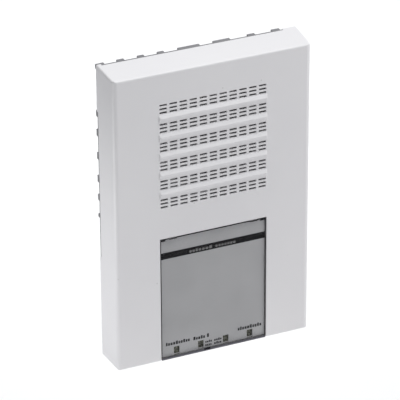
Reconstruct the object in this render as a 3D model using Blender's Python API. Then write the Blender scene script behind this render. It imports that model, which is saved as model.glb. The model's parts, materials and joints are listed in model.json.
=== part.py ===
"""Wall alarm siren with a barred sound grille and a top-hinged label flap.

Frame: metres, +Z up, front towards -Y, +X to the right seen from the front.
The origin is the centre of the base's wall pad, so the wall is the plane y = 0.
The dimensions below are in millimetres; MM turns them into metres.
"""
import math

import bmesh
import bpy
from mathutils import Matrix, Vector

MM = 0.001
EPS = 0.5          # how far a cutter runs past the faces that it opens
GAP = 0.3          # clearance between neighbouring pieces

# Overall size
WIDTH = 130.0
HEIGHT = 200.0
STAND_OFF = 2.4    # wall to the cover's rim
COVER_DEPTH = 23.8
DRAFT = 1.0        # each side is this much smaller at the front face
EDGE_R = 2.2
WALL = 2.2
FACE_WALL = 2.5

RIM_Y = -STAND_OFF
FRONT_Y = RIM_Y - COVER_DEPTH
FACE_BACK_Y = FRONT_Y + FACE_WALL
SLOPE = DRAFT / COVER_DEPTH

# Sound grille: bands of slots with a raised bar between each band and the next
BANDS = 6
ROWS = 3
COLUMNS = 11
BAND_PITCH = 12.75
FIRST_ROW_Z = 77.6
SLOT_W = 4.8
SLOT_H = 1.3
SLOT_PITCH_X = 6.44
SLOT_PITCH_Z = 2.48
BAR_TOP = 71.6     # the first bar's upper side meets the face here,
BAR_CREST = 69.4   # stands proudest here
BAR_FOOT = 65.8    # and runs back into the face here
BAR_PROUD = 1.4
BAR_HALF = 35.2
BAR_END = 0.6      # each end leans in by this much up to the crest
BAR_ROOT = 0.6     # depth of the bar inside the face
THIN_WALL = 1.2    # the face's thickness round the slots
THIN_HALF = 35.7
THIN_Z = (6.5, 80.0)

# Flap and the pocket behind it
POCKET_HALF = 35.2
POCKET_TOP = -13.0
POCKET_FLOOR_Y = FRONT_Y + 3.7
POCKET_FLOOR = 1.5
POCKET_WALL = 1.5
POCKET_BOTTOM = -97.5
FLAP_HALF = 34.75
FLAP_TOP = -13.65
FLAP_BOTTOM = -98.8
LIP_TOP = -97.3
WINDOW_T = 1.0
CARD_T = 0.2
CARD_Y = FRONT_Y + 1.1
FLAP_BACK_FRONT_Y = FRONT_Y + 1.4
FLAP_BACK_Y = FRONT_Y + 2.2
LIP_BACK_Y = FRONT_Y + 2.6
BACK_BOTTOM = -97.1
AXIS_Y = FRONT_Y + 1.1
AXIS_Z = FLAP_TOP - 1.0
PIN_R = 0.5
PIN_INNER = 31.75  # each pin runs from here, past the flap's edge, into the pocket's side wall
PIN_OUTER = 36.25
PIN_GROOVE_R = 0.58
PIN_BORE_R = 0.7
NOTCH_X = 26.7     # two small notches in the flap's top edge
NOTCH_HALF = 2.5
NOTCH_DEEP = 0.55
FINGER_RECESS_X = (-6.5, -2.4)
FINGER_RECESS_Z = (-98.2, -96.9)
FINGER_RECESS_Y = FRONT_Y + 0.7

# Indicators
LIGHT_X = (-24.6, -8.4, 8.4, 24.6)
LIGHT_W = 3.8
LIGHT_TOP = -91.3
LIGHT_BOTTOM = -96.7
LIGHT_HEAD_Y = POCKET_FLOOR_Y - 1.2
LIGHT_HEAD_HALF = 2.3
LIGHT_HEAD_Z = (-97.0, -90.1)
LIGHT_TIP_Y = -14.0
LIGHT_TIP_HALF = 1.8
LAMP_Z = -93.4

# Buttons behind the flap
BUTTON_X = 10.0
BUTTON_Z = -60.0
BUTTON_R = 3.2
BUTTON_HEAD_Y = POCKET_FLOOR_Y - 1.2

# Cover screws behind the flap, into posts on the base
COVER_SCREW_X = 28.0
COVER_SCREW_Z = -20.0

# Base
BASE_T = 2.0
BASE_FRONT_Y = RIM_Y - BASE_T
BASE_HALF_W = 62.0
BASE_HALF_H = 97.0
RIM_H = 1.6
RIM_T = 1.6
FLANGE_T = 1.5
FLANGE_OUT = 0.35  # the flange's edge stays this far inside the cover's outline
RELIEF = FLANGE_T + GAP
RELIEF_REACH = 3.8  # from the cover's outline inwards
TOP_RELIEF = (-61.9, 55.6)
SIDE_RELIEF = (-30.0, 69.4)
LUG_DEEP = 3.0
TOP_LUGS = ((-62.0, 5.2), (-48.85, 4.5), (-35.9, 4.1), (-23.1, 4.1), (-5.0, 13.9),
            (16.3, 10.9), (35.7, 4.7), (51.8, 5.2))       # centre, width
SIDE_LUGS = ((67.2, 4.0), (54.3, 4.2), (38.6, 4.3), (23.0, 4.4), (10.3, 3.9), (-2.3, 2.0))
BOTTOM_LUGS = ((-45.0, 6.0), (0.0, 14.0), (45.0, 6.0))
PAD_HALF = 14.0
CABLE_X = -39.5
CABLE_Z = -9.5
CABLE_R = 9.0
WALL_HOLE_X = 53.0
WALL_HOLE_Z = -12.0
KEYHOLE_Z = 91.0

# Main board
BOARD_X = (-58.0, 33.0)
BOARD_Z = (-95.0, -26.0)
BOARD_T = 1.6
BOARD_BACK_Y = BASE_FRONT_Y - 2.0
BOARD_FRONT_Y = BOARD_BACK_Y - BOARD_T
BOARD_SCREWS = ((-54.0, -91.0), (29.0, -91.0), (-36.5, -41.0), (29.0, -30.0))
SEAT = 0.2         # a component's underside stands this far off the board

# Components on the board: x range, z range, height, bevel
CORE = ((-56.5, -40.5), (-78.0, -48.0), 11.0, 0.4)
CORE_WINDOW = ((-53.5, -43.5), (-74.0, -52.0))
COIL = ((-53.2, -43.8), (-73.7, -52.3), 12.0, 1.0)
RELAY = ((-34.0, -19.0), (-84.0, -65.0), 11.5, 0.5)
CHIP = ((4.0, 22.0), (-83.0, -75.5), 2.6, 0.2)
SIREN_PLUG = ((20.0, 27.0), (-36.0, -30.5), 6.5, 0.3)
BATTERY_PLUG = ((24.5, 31.5), (-55.0, -48.0), 6.5, 0.3)
MAINS_TERMINALS = ((-57.0, -42.0), (-37.0, -27.5), 3)     # x range, z range, poles
LOOP_TERMINALS = ((-33.0, -3.0), (-37.0, -27.5), 6)
TERMINAL_HEIGHT = 9.5
CAPACITORS = ((20.0, -45.0, 4.0), (-4.0, -78.0, 3.2))     # x, z, radius
CAPACITOR_HEIGHT = 10.8
FUSE_R = 2.4
FUSE_Z = -48.0
FUSE_X = (-34.0, -14.0)
FUSE_LIFT = 4.6    # its axis in front of the board
FUSE_CLIP_X = (("left", (-33.4, -29.4)), ("right", (-18.6, -14.6)))
FUSE_CLIP_HALF = 3.2
FUSE_CLIP_HEIGHT = 5.0
SWITCH_HALF = 3.0
SWITCH_HEIGHT = 3.0
PLUNGER_R = 1.7
PLUNGER_REACH = 4.0

# Siren driver
SIREN_Z = 44.0
SIREN_HALF_W = 44.0
SIREN_HALF_H = 43.0
SIREN_FLANGE_Y = FACE_BACK_Y + 3.1
SIREN_FLANGE_T = 1.6
SIREN_SCREW = (40.0, 38.0)
THROAT_R = 31.0
MAGNET_BACK_Y = -4.9
CUP_BACK_Y = -10.6
CUP_BACK_T = 1.2

# Battery, grommet and leads
BATTERY_X = (35.2, 60.0)
BATTERY_Z = (-91.4, -42.5)
BATTERY_FRONT_Y = -20.6
BATTERY_STOP_T = 1.5
BATTERY_STOP_Y = -10.0
BATTERY_PAD = ((39.0, 58.0), (-80.0, -54.0))
BATTERY_CLIP = ((38.5, 58.5), (-17.0, -7.0), (-40.4, -36.8))
GROMMET_BORE_R = 6.0
LEAD_R = 1.0
SIREN_LEAD = ((23.5, -14.9, -33.2), (23.6, -17.2, -33.0), (23.0, -17.6, -27.0), (20.5, -15.5, -14.0),
              (19.0, -13.5, 2.0), (19.0, -12.6, 14.0), (14.0, -9.6, 24.0), (11.6, -7.6, 31.6))
BATTERY_LEAD = ((48.0, -12.0, -36.4), (47.6, -12.4, -33.6), (42.0, -14.0, -32.6),
                (35.6, -15.6, -36.5), (31.0, -16.9, -44.0), (28.4, -17.0, -49.6),
                (28.0, -15.6, -51.5), (28.0, -14.9, -51.6))


def material(name, color, roughness, metallic=0.0, alpha=1.0):
    mat = bpy.data.materials.new(name)
    mat.use_nodes = True
    shader = mat.node_tree.nodes["Principled BSDF"]
    shader.inputs["Base Color"].default_value = (*color, 1.0)
    shader.inputs["Roughness"].default_value = roughness
    shader.inputs["Metallic"].default_value = metallic
    shader.inputs["Alpha"].default_value = alpha
    return mat


def add_block(bm, x, y, z):
    """Add a box between two corners given as ranges in millimetres."""
    size = Vector((x[1] - x[0], y[1] - y[0], z[1] - z[0])) * MM
    centre = Vector((x[0] + x[1], y[0] + y[1], z[0] + z[1])) * (MM / 2)
    placed = Matrix.Translation(centre) @ Matrix.Diagonal((*size, 1.0))
    return bmesh.ops.create_cube(bm, size=1.0, matrix=placed)["verts"]


def add_rod(bm, radius, centre, span, axis="Y", sides=16):
    """Add a closed rod; span is its range along the axis, centre the other two places."""
    length = (span[1] - span[0]) * MM
    middle = (span[0] + span[1]) / 2
    if axis == "Y":
        place = Matrix.Translation(Vector((centre[0], middle, centre[1])) * MM)
        turn = Matrix.Rotation(math.pi / 2, 4, "X")
    else:
        place = Matrix.Translation(Vector((middle, centre[0], centre[1])) * MM)
        turn = Matrix.Rotation(math.pi / 2, 4, "Y")
    return bmesh.ops.create_cone(
        bm, cap_ends=True, segments=sides, radius1=radius * MM, radius2=radius * MM,
        depth=length, matrix=place @ turn)["verts"]


def add_turned(bm, profile, centre, sides=24, closed=False):
    """Turn (radius, y) points about the Y axis through centre = (x, z)."""
    x, z = centre
    verts = [bm.verts.new(Vector((x + r, y, z)) * MM) for r, y in profile]
    pairs = list(zip(verts, verts[1:]))
    if closed:
        pairs.append((verts[-1], verts[0]))
    edges = [bm.edges.new(pair) for pair in pairs]
    bmesh.ops.spin(bm, geom=verts + edges, cent=Vector((x, 0, z)) * MM, axis=(0, 1, 0),
                   angle=2 * math.pi, steps=sides, use_merge=True)
    bmesh.ops.remove_doubles(bm, verts=bm.verts, dist=1e-7)
    bmesh.ops.recalc_face_normals(bm, faces=bm.faces)


def make_object(name, bm, mat=None, smooth=False, origin=(0.0, 0.0, 0.0)):
    """Turn a bmesh into an object whose origin is at a point given in millimetres."""
    bmesh.ops.recalc_face_normals(bm, faces=bm.faces)
    place = Vector(origin) * MM
    bmesh.ops.translate(bm, verts=bm.verts, vec=-place)
    mesh = bpy.data.meshes.new(name)
    bm.to_mesh(mesh)
    bm.free()
    if smooth:
        mesh.shade_smooth()
        mesh.set_sharp_from_angle(angle=math.radians(35))
    if mat is not None:
        mesh.materials.append(mat)
    obj = bpy.data.objects.new(name, mesh)
    obj.location = place
    bpy.context.scene.collection.objects.link(obj)
    return obj


def combine(obj, bm, operation, label):
    """Add or remove the shape in bm with a Boolean that stays live."""
    tool = make_object(obj.name + "_" + label, bm)
    tool.hide_render = True
    tool.display_type = "WIRE"
    mod = obj.modifiers.new(label, "BOOLEAN")
    mod.operation = operation
    mod.object = tool
    mod.solver = "EXACT"


def blocks(*ranges):
    bm = bmesh.new()
    for x, y, z in ranges:
        add_block(bm, x, y, z)
    return bm


def block_object(name, x, y, z, mat, bevel=0.0):
    bm = blocks((x, y, z))
    if bevel:
        bmesh.ops.bevel(bm, geom=bm.edges[:], offset=bevel * MM, segments=1, profile=0.5,
                        affect="EDGES", material=-1)
    return make_object(name, bm, mat)


def rod_object(name, radius, centre, span, mat, axis="Y", sides=16):
    bm = bmesh.new()
    add_rod(bm, radius, centre, span, axis, sides)
    return make_object(name, bm, mat, smooth=True)


def drafted_box(half_w, half_h, y_rim, y_front, edge_r):
    """A box whose sides lean in towards the front, with its front edges rounded."""
    bm = bmesh.new()
    add_block(bm, (-half_w, half_w), (y_front, y_rim), (-half_h, half_h))
    lean = SLOPE * (y_rim - y_front)
    for v in bm.verts:
        if v.co.y < (y_rim + y_front) / 2 * MM:
            v.co.x -= math.copysign(lean * MM, v.co.x)
            v.co.z -= math.copysign(lean * MM, v.co.z)
    if edge_r:
        rounded = [e for e in bm.edges if any(v.co.y < (y_rim - 1.0) * MM for v in e.verts)]
        bmesh.ops.bevel(bm, geom=rounded, offset=edge_r * MM, segments=2, profile=0.5,
                        affect="EDGES", material=-1)
    return bm


def grille_bars():
    """The raised bars, each a wedge with a steep upper side and leaning ends."""
    bm = bmesh.new()
    for band in range(BANDS - 1):
        drop = band * BAND_PITCH
        outline = ((FRONT_Y + BAR_ROOT, BAR_TOP, 0.0), (FRONT_Y, BAR_TOP, 0.0),
                   (FRONT_Y - BAR_PROUD, BAR_CREST, BAR_END), (FRONT_Y, BAR_FOOT, 0.0),
                   (FRONT_Y + BAR_ROOT, BAR_FOOT, 0.0))
        ends = [[bm.verts.new(Vector((side * (BAR_HALF - lean), y, z - drop)) * MM)
                 for y, z, lean in outline] for side in (-1, 1)]
        for end in ends:
            bm.faces.new(end)
        for i, j in zip(range(len(outline)), (1, 2, 3, 4, 0)):
            bm.faces.new((ends[0][i], ends[0][j], ends[1][j], ends[1][i]))
    return bm


def slot_cutters():
    bm = bmesh.new()
    for band in range(BANDS):
        for row in range(ROWS):
            z = FIRST_ROW_Z - band * BAND_PITCH - row * SLOT_PITCH_Z
            for column in range(COLUMNS):
                x = (column - (COLUMNS - 1) / 2) * SLOT_PITCH_X
                add_block(bm, (x - SLOT_W / 2, x + SLOT_W / 2),
                          (FRONT_Y - EPS, FACE_BACK_Y + 2.0), (z - SLOT_H / 2, z + SLOT_H / 2))
    return bm


def pin_rods(radius, inner, outer):
    """A rod on the hinge axis at each side of the flap."""
    bm = bmesh.new()
    add_rod(bm, radius, (AXIS_Y, AXIS_Z), (-outer, -inner), "X", 12)
    add_rod(bm, radius, (AXIS_Y, AXIS_Z), (inner, outer), "X", 12)
    return bm


def make_front_cover(mat):
    cover = make_object("front_cover", drafted_box(WIDTH / 2, HEIGHT / 2, RIM_Y, FRONT_Y, EDGE_R),
                        mat, smooth=True)
    overrun = SLOPE * EPS
    combine(cover, drafted_box(WIDTH / 2 - WALL + overrun, HEIGHT / 2 - WALL + overrun,
                               RIM_Y + EPS, FACE_BACK_Y, 0.0), "DIFFERENCE", "hollow")
    floor_back = POCKET_FLOOR_Y + POCKET_FLOOR
    combine(cover, blocks(((-POCKET_HALF - POCKET_WALL, POCKET_HALF + POCKET_WALL),
                           (FRONT_Y + 1.0, floor_back),
                           (POCKET_BOTTOM, POCKET_TOP + POCKET_WALL))), "UNION", "pocket_wall")
    combine(cover, blocks(((-POCKET_HALF, POCKET_HALF), (FRONT_Y - EPS, POCKET_FLOOR_Y),
                           (-HEIGHT / 2 - EPS, POCKET_TOP))), "DIFFERENCE", "pocket")
    combine(cover, pin_rods(PIN_BORE_R, POCKET_HALF - EPS, PIN_OUTER + GAP), "DIFFERENCE",
            "pin_bores")
    combine(cover, blocks(((-THIN_HALF, THIN_HALF), (FRONT_Y + THIN_WALL, FACE_BACK_Y + EPS),
                           THIN_Z)), "DIFFERENCE", "thinning")
    combine(cover, grille_bars(), "UNION", "bars")
    combine(cover, slot_cutters(), "DIFFERENCE", "slots")
    openings = blocks(*[((x - LIGHT_W / 2 - GAP, x + LIGHT_W / 2 + GAP),
                         (POCKET_FLOOR_Y - EPS, floor_back + EPS),
                         (LIGHT_BOTTOM - 0.25, LIGHT_TOP + GAP)) for x in LIGHT_X])
    for x in (-BUTTON_X, BUTTON_X):
        add_rod(openings, BUTTON_R + GAP, (x, BUTTON_Z), (POCKET_FLOOR_Y - EPS, floor_back + EPS))
    for x in (-COVER_SCREW_X, COVER_SCREW_X):
        add_rod(openings, 1.8, (x, COVER_SCREW_Z), (POCKET_FLOOR_Y - EPS, floor_back + EPS))
    combine(cover, openings, "DIFFERENCE", "floor_openings")
    bosses = bmesh.new()
    screw_x, screw_z = SIREN_SCREW
    for x in (-screw_x, screw_x):
        for z in (SIREN_Z - screw_z, SIREN_Z + screw_z):
            add_rod(bosses, 3.2, (x, z), (FACE_BACK_Y - 1.0, SIREN_FLANGE_Y - GAP), sides=12)
    combine(cover, bosses, "UNION", "siren_bosses")
    pilots = bmesh.new()
    for x in (-screw_x, screw_x):
        for z in (SIREN_Z - screw_z, SIREN_Z + screw_z):
            add_rod(pilots, 1.5, (x, z), (FACE_BACK_Y - 0.9, SIREN_FLANGE_Y + EPS), sides=12)
    combine(cover, pilots, "DIFFERENCE", "boss_pilots")
    relief_y = (RIM_Y - RELIEF, RIM_Y + EPS)
    half_w = WIDTH / 2
    combine(cover, blocks((TOP_RELIEF, relief_y, (HEIGHT / 2 - RELIEF_REACH, HEIGHT / 2 + EPS)),
                          ((-half_w - EPS, -half_w + RELIEF_REACH), relief_y, SIDE_RELIEF),
                          ((half_w - RELIEF_REACH, half_w + EPS), relief_y, SIDE_RELIEF)),
            "DIFFERENCE", "rim_relief")
    return cover


def make_rear_base(mat):
    plate = blocks(((-BASE_HALF_W, BASE_HALF_W), (BASE_FRONT_Y, RIM_Y),
                    (-BASE_HALF_H, BASE_HALF_H)))
    upright = [e for e in plate.edges if abs(e.verts[0].co.y - e.verts[1].co.y) > MM]
    bmesh.ops.bevel(plate, geom=upright, offset=1.5 * MM, segments=2, profile=0.5,
                    affect="EDGES", material=-1)
    base = make_object("rear_base", plate, mat)
    inner_w = BASE_HALF_W - RIM_T
    inner_h = BASE_HALF_H - RIM_T
    rim = blocks(((-BASE_HALF_W + 0.4, BASE_HALF_W - 0.4), (BASE_FRONT_Y - RIM_H, BASE_FRONT_Y + 0.5),
                  (-BASE_HALF_H + 0.4, BASE_HALF_H - 0.4)))
    combine(base, rim, "UNION", "rim")
    combine(base, blocks(((-inner_w, inner_w), (BASE_FRONT_Y - RIM_H - EPS, BASE_FRONT_Y),
                          (-inner_h, inner_h))), "DIFFERENCE", "tray")
    flange_x = WIDTH / 2 - FLANGE_OUT
    flange_z = HEIGHT / 2 - FLANGE_OUT
    flange_y = (RIM_Y - FLANGE_T, RIM_Y - 0.05)
    side = (SIDE_RELIEF[0] + GAP, SIDE_RELIEF[1] - GAP)
    top = (TOP_RELIEF[0] + GAP, TOP_RELIEF[1] - GAP)
    combine(base, blocks((top, flange_y, (HEIGHT / 2 - RELIEF_REACH + GAP, flange_z)),
                         ((-flange_x, -BASE_HALF_W + 5.0), flange_y, side),
                         ((BASE_HALF_W - 5.0, flange_x), flange_y, side)), "UNION", "flanges")
    lug_y = (RIM_Y - 0.5, 0.0)
    lugs = []
    for x, w in TOP_LUGS:
        left = max(x - w / 2, top[0] + 0.1)
        right = min(x + w / 2, top[1] - 0.1)
        lugs.append(((left, right), lug_y, (flange_z - LUG_DEEP, flange_z - 0.05)))
    for z, w in SIDE_LUGS:
        span = (z - w / 2, z + w / 2)
        lugs.append(((-flange_x + 0.05, -flange_x + LUG_DEEP), lug_y, span))
        lugs.append(((flange_x - LUG_DEEP, flange_x - 0.05), lug_y, span))
    for x, w in BOTTOM_LUGS:
        lugs.append(((x - w / 2, x + w / 2), lug_y, (-BASE_HALF_H + 0.1, -BASE_HALF_H + LUG_DEEP)))
    lugs.append(((-PAD_HALF, PAD_HALF), lug_y, (-PAD_HALF, PAD_HALF)))
    combine(base, blocks(*lugs), "UNION", "stand_offs")
    corner_x, corner_w = TOP_LUGS[0]
    combine(base, blocks(((corner_x - corner_w / 2, corner_x + corner_w / 2 - 0.1), (RIM_Y + 0.15, -0.05),
                          (flange_z - LUG_DEEP + 0.1, flange_z - 0.1))), "UNION", "corner_lug")
    posts = bmesh.new()
    for x in (-COVER_SCREW_X, COVER_SCREW_X):
        add_rod(posts, 3.6, (x, COVER_SCREW_Z),
                (POCKET_FLOOR_Y + POCKET_FLOOR + GAP, BASE_FRONT_Y + 0.5))
    for x, z in BOARD_SCREWS:
        add_rod(posts, 2.6, (x, z), (BOARD_BACK_Y + GAP, BASE_FRONT_Y + 0.5), sides=12)
    combine(base, posts, "UNION", "posts")
    stop_x = (BATTERY_X[0] + 0.6, BATTERY_X[1] + 1.2)
    stop_y = (BATTERY_STOP_Y, BASE_FRONT_Y + 0.5)
    low = BATTERY_Z[0] - GAP
    high = BATTERY_Z[1] + GAP
    combine(base, blocks((stop_x, stop_y, (low - BATTERY_STOP_T, low)),
                         (stop_x, stop_y, (high, high + BATTERY_STOP_T))), "UNION", "battery_stops")
    holes = bmesh.new()
    for x in (-COVER_SCREW_X, COVER_SCREW_X):
        add_rod(holes, 1.4, (x, COVER_SCREW_Z), (POCKET_FLOOR_Y, BASE_FRONT_Y - 1.0), sides=12)
    for x, z in BOARD_SCREWS:
        add_rod(holes, 1.1, (x, z), (BOARD_BACK_Y - EPS, BASE_FRONT_Y + 1.0), sides=12)
    add_rod(holes, CABLE_R, (CABLE_X, CABLE_Z), (BASE_FRONT_Y - EPS, RIM_Y + EPS), sides=24)
    for x in (-WALL_HOLE_X, WALL_HOLE_X):
        add_rod(holes, 2.4, (x, WALL_HOLE_Z), (BASE_FRONT_Y - EPS, RIM_Y + EPS))
    add_rod(holes, 4.2, (0.0, KEYHOLE_Z - 6.0), (BASE_FRONT_Y - EPS, RIM_Y + EPS))
    combine(base, holes, "DIFFERENCE", "holes")
    combine(base, blocks(((-2.2, 2.2), (BASE_FRONT_Y - EPS, RIM_Y + EPS),
                          (KEYHOLE_Z - 6.0, KEYHOLE_Z))), "DIFFERENCE", "keyhole_slot")
    return base


def notches(deep):
    """The two small notches in the flap's top edge."""
    return blocks(*[((x - NOTCH_HALF, x + NOTCH_HALF), (FRONT_Y - EPS, FLAP_BACK_Y + EPS),
                     (FLAP_TOP - deep, FLAP_TOP + EPS)) for x in (-NOTCH_X, NOTCH_X)])


def make_flap(window_mat, card_mat, back_mat):
    hinge = (0.0, AXIS_Y, AXIS_Z)
    bm = blocks(((-FLAP_HALF, FLAP_HALF), (FRONT_Y, FRONT_Y + WINDOW_T), (FLAP_BOTTOM, FLAP_TOP)))
    chamfered = [e for e in bm.edges if all(v.co.y < (FRONT_Y + 0.1) * MM for v in e.verts)]
    bmesh.ops.bevel(bm, geom=chamfered, offset=0.35 * MM, segments=1, profile=0.5,
                    affect="EDGES", material=-1)
    window = make_object("flap_window", bm, window_mat, origin=hinge)
    combine(window, blocks(((-FLAP_HALF + 0.05, FLAP_HALF - 0.05), (FRONT_Y + 0.6, LIP_BACK_Y),
                            (FLAP_BOTTOM + 0.05, LIP_TOP))), "UNION", "lip")
    combine(window, blocks((FINGER_RECESS_X, (FRONT_Y - EPS, FINGER_RECESS_Y), FINGER_RECESS_Z)),
            "DIFFERENCE", "finger_recess")
    combine(window, notches(NOTCH_DEEP), "DIFFERENCE", "notches")
    groove = (PIN_GROOVE_R, PIN_INNER - GAP, FLAP_HALF + EPS)
    combine(window, pin_rods(*groove), "DIFFERENCE", "grooves")

    edge = FLAP_HALF - 0.15
    top = FLAP_TOP - 0.15
    card = make_object("label_card", blocks(((-edge, edge), (CARD_Y, CARD_Y + CARD_T),
                                             (BACK_BOTTOM, top))), card_mat, origin=hinge)
    back = make_object("flap_back", blocks(((-edge, edge), (FLAP_BACK_FRONT_Y, FLAP_BACK_Y),
                                            (BACK_BOTTOM, top))), back_mat, origin=hinge)
    for layer, wider in ((card, 0.0), (back, GAP)):
        windows = [((x - LIGHT_W / 2 - wider, x + LIGHT_W / 2 + wider), (FRONT_Y, FLAP_BACK_Y + EPS),
                    (BACK_BOTTOM - EPS, LIGHT_TOP + wider)) for x in LIGHT_X]
        combine(layer, blocks(*windows), "DIFFERENCE", "light_windows")
        combine(layer, notches(NOTCH_DEEP + GAP), "DIFFERENCE", "notches")
    pin_room = [((-edge - EPS, -PIN_INNER + 0.4), (FRONT_Y, FLAP_BACK_Y), (AXIS_Z - 0.8, top + EPS)),
                ((PIN_INNER - 0.4, edge + EPS), (FRONT_Y, FLAP_BACK_Y), (AXIS_Z - 0.8, top + EPS))]
    combine(card, blocks(*pin_room), "DIFFERENCE", "pin_room")
    combine(back, pin_rods(*groove), "DIFFERENCE", "grooves")


def make_hinge_pins(mat):
    for side, span in (("left", (-PIN_OUTER, -PIN_INNER)), ("right", (PIN_INNER, PIN_OUTER))):
        rod_object("hinge_pin_" + side, PIN_R, (AXIS_Y, AXIS_Z), span, mat, axis="X", sides=12)


def make_indicators(pipe_mat, lamp_mat):
    """Each light pipe has a flat head on the pocket's floor and narrows to its lamp."""
    for number, x in enumerate(LIGHT_X, 1):
        bm = blocks(((x - LIGHT_W / 2, x + LIGHT_W / 2), (LIGHT_HEAD_Y + GAP, LIGHT_TIP_Y),
                     (LIGHT_BOTTOM, LIGHT_TOP)))
        for v in bm.verts:
            if v.co.y > (LIGHT_TIP_Y - EPS) * MM:
                v.co.z = (LAMP_Z + math.copysign(LIGHT_TIP_HALF, v.co.z - LAMP_Z * MM)) * MM
        pipe = make_object("light_pipe_%d" % number, bm, pipe_mat)
        combine(pipe, blocks(((x - LIGHT_HEAD_HALF, x + LIGHT_HEAD_HALF),
                              (LIGHT_HEAD_Y, POCKET_FLOOR_Y - GAP), LIGHT_HEAD_Z)), "UNION", "head")
        bm = bmesh.new()
        add_turned(bm, [(0.0, -13.5), (0.9, -13.2), (1.5, -12.2), (1.5, -9.4), (1.8, -9.4),
                        (1.8, BOARD_FRONT_Y - 0.2), (0.0, BOARD_FRONT_Y - 0.2)],
                   (x, LAMP_Z), sides=12)
        make_object("lamp_%d" % number, bm, lamp_mat, smooth=True)


def make_buttons(mats, switch_mat):
    floor_back = POCKET_FLOOR_Y + POCKET_FLOOR
    for name, x, mat in (("test", -BUTTON_X, mats[0]), ("silence", BUTTON_X, mats[1])):
        profile = [(0.0, BUTTON_HEAD_Y), (BUTTON_R - 0.4, BUTTON_HEAD_Y),
                   (BUTTON_R, BUTTON_HEAD_Y + 0.4), (BUTTON_R, floor_back + GAP),
                   (BUTTON_R + 1.2, floor_back + GAP), (BUTTON_R + 1.2, floor_back + 1.3),
                   (1.5, floor_back + 1.3), (1.5, BOARD_FRONT_Y - 4.9), (0.0, BOARD_FRONT_Y - 4.9)]
        bm = bmesh.new()
        add_turned(bm, profile, (x, BUTTON_Z), sides=20)
        make_object(name + "_button", bm, mat, smooth=True, origin=(x, BUTTON_HEAD_Y, BUTTON_Z))
        bm = blocks(((x - SWITCH_HALF, x + SWITCH_HALF),
                     (BOARD_FRONT_Y - SEAT - SWITCH_HEIGHT, BOARD_FRONT_Y - SEAT),
                     (BUTTON_Z - SWITCH_HALF, BUTTON_Z + SWITCH_HALF)))
        switch = make_object(name + "_switch", bm, switch_mat)
        plunger = bmesh.new()
        add_rod(plunger, PLUNGER_R, (x, BUTTON_Z),
                (BOARD_FRONT_Y - PLUNGER_REACH, BOARD_FRONT_Y - SWITCH_HEIGHT / 2), sides=12)
        combine(switch, plunger, "UNION", "plunger")


def screw(name, place, head_y, head, shank, mat, away=1):
    """A pan-head screw along Y; head = (radius, height), shank = (radius, length)."""
    top = head_y - away * head[1]
    tip = head_y + away * shank[1]
    profile = [(0.0, top), (head[0] * 0.75, top), (head[0], top + away * head[1] * 0.5),
               (head[0], head_y), (shank[0], head_y), (shank[0], tip - away * 0.8), (0.0, tip)]
    bm = bmesh.new()
    add_turned(bm, profile, place, sides=12)
    make_object(name, bm, mat, smooth=True)


def make_screws(mat):
    for number, (x, z) in enumerate(BOARD_SCREWS, 1):
        screw("board_screw_%d" % number, (x, z), BOARD_FRONT_Y - 0.1, (2.3, 1.4), (0.9, 3.9), mat)
    for side, x in (("left", -COVER_SCREW_X), ("right", COVER_SCREW_X)):
        screw("cover_screw_" + side, (x, COVER_SCREW_Z), POCKET_FLOOR_Y - 0.1, (2.7, 1.2),
              (1.2, 11.0), mat)
    number = 1
    for x in (-SIREN_SCREW[0], SIREN_SCREW[0]):
        for z in (SIREN_Z - SIREN_SCREW[1], SIREN_Z + SIREN_SCREW[1]):
            screw("siren_screw_%d" % number, (x, z), SIREN_FLANGE_Y + SIREN_FLANGE_T + 0.1,
                  (2.6, 1.3), (1.2, 4.9), mat, away=-1)
            number += 1


def make_board(mat):
    board = make_object("main_board", blocks((BOARD_X, (BOARD_FRONT_Y, BOARD_BACK_Y), BOARD_Z)), mat)
    holes = bmesh.new()
    for x, z in BOARD_SCREWS:
        add_rod(holes, 1.4, (x, z), (BOARD_FRONT_Y - EPS, BOARD_BACK_Y + EPS), sides=12)
    combine(board, holes, "DIFFERENCE", "holes")


def on_board(name, x, z, height, bevel, mat):
    """A rectangular component standing on the board."""
    return block_object(name, x, (BOARD_FRONT_Y - SEAT - height, BOARD_FRONT_Y - SEAT), z, mat, bevel)


def make_terminals(name, x, z, poles, mat):
    """A terminal block with a screw well and a wire entry for each pole."""
    block = on_board(name, x, z, TERMINAL_HEIGHT, 0.0, mat)
    pitch = (x[1] - x[0]) / poles
    wells = bmesh.new()
    for pole in range(poles):
        centre = x[0] + (pole + 0.5) * pitch
        add_rod(wells, 1.7, (centre, z[0] + 3.2), (BOARD_FRONT_Y - 10.5, BOARD_FRONT_Y - 7.0),
                sides=12)
        add_block(wells, (centre - 1.5, centre + 1.5), (BOARD_FRONT_Y - 5.4, BOARD_FRONT_Y - 2.0),
                  (z[1] - 3.0, z[1] + EPS))
    combine(block, wells, "DIFFERENCE", "wells")


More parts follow.
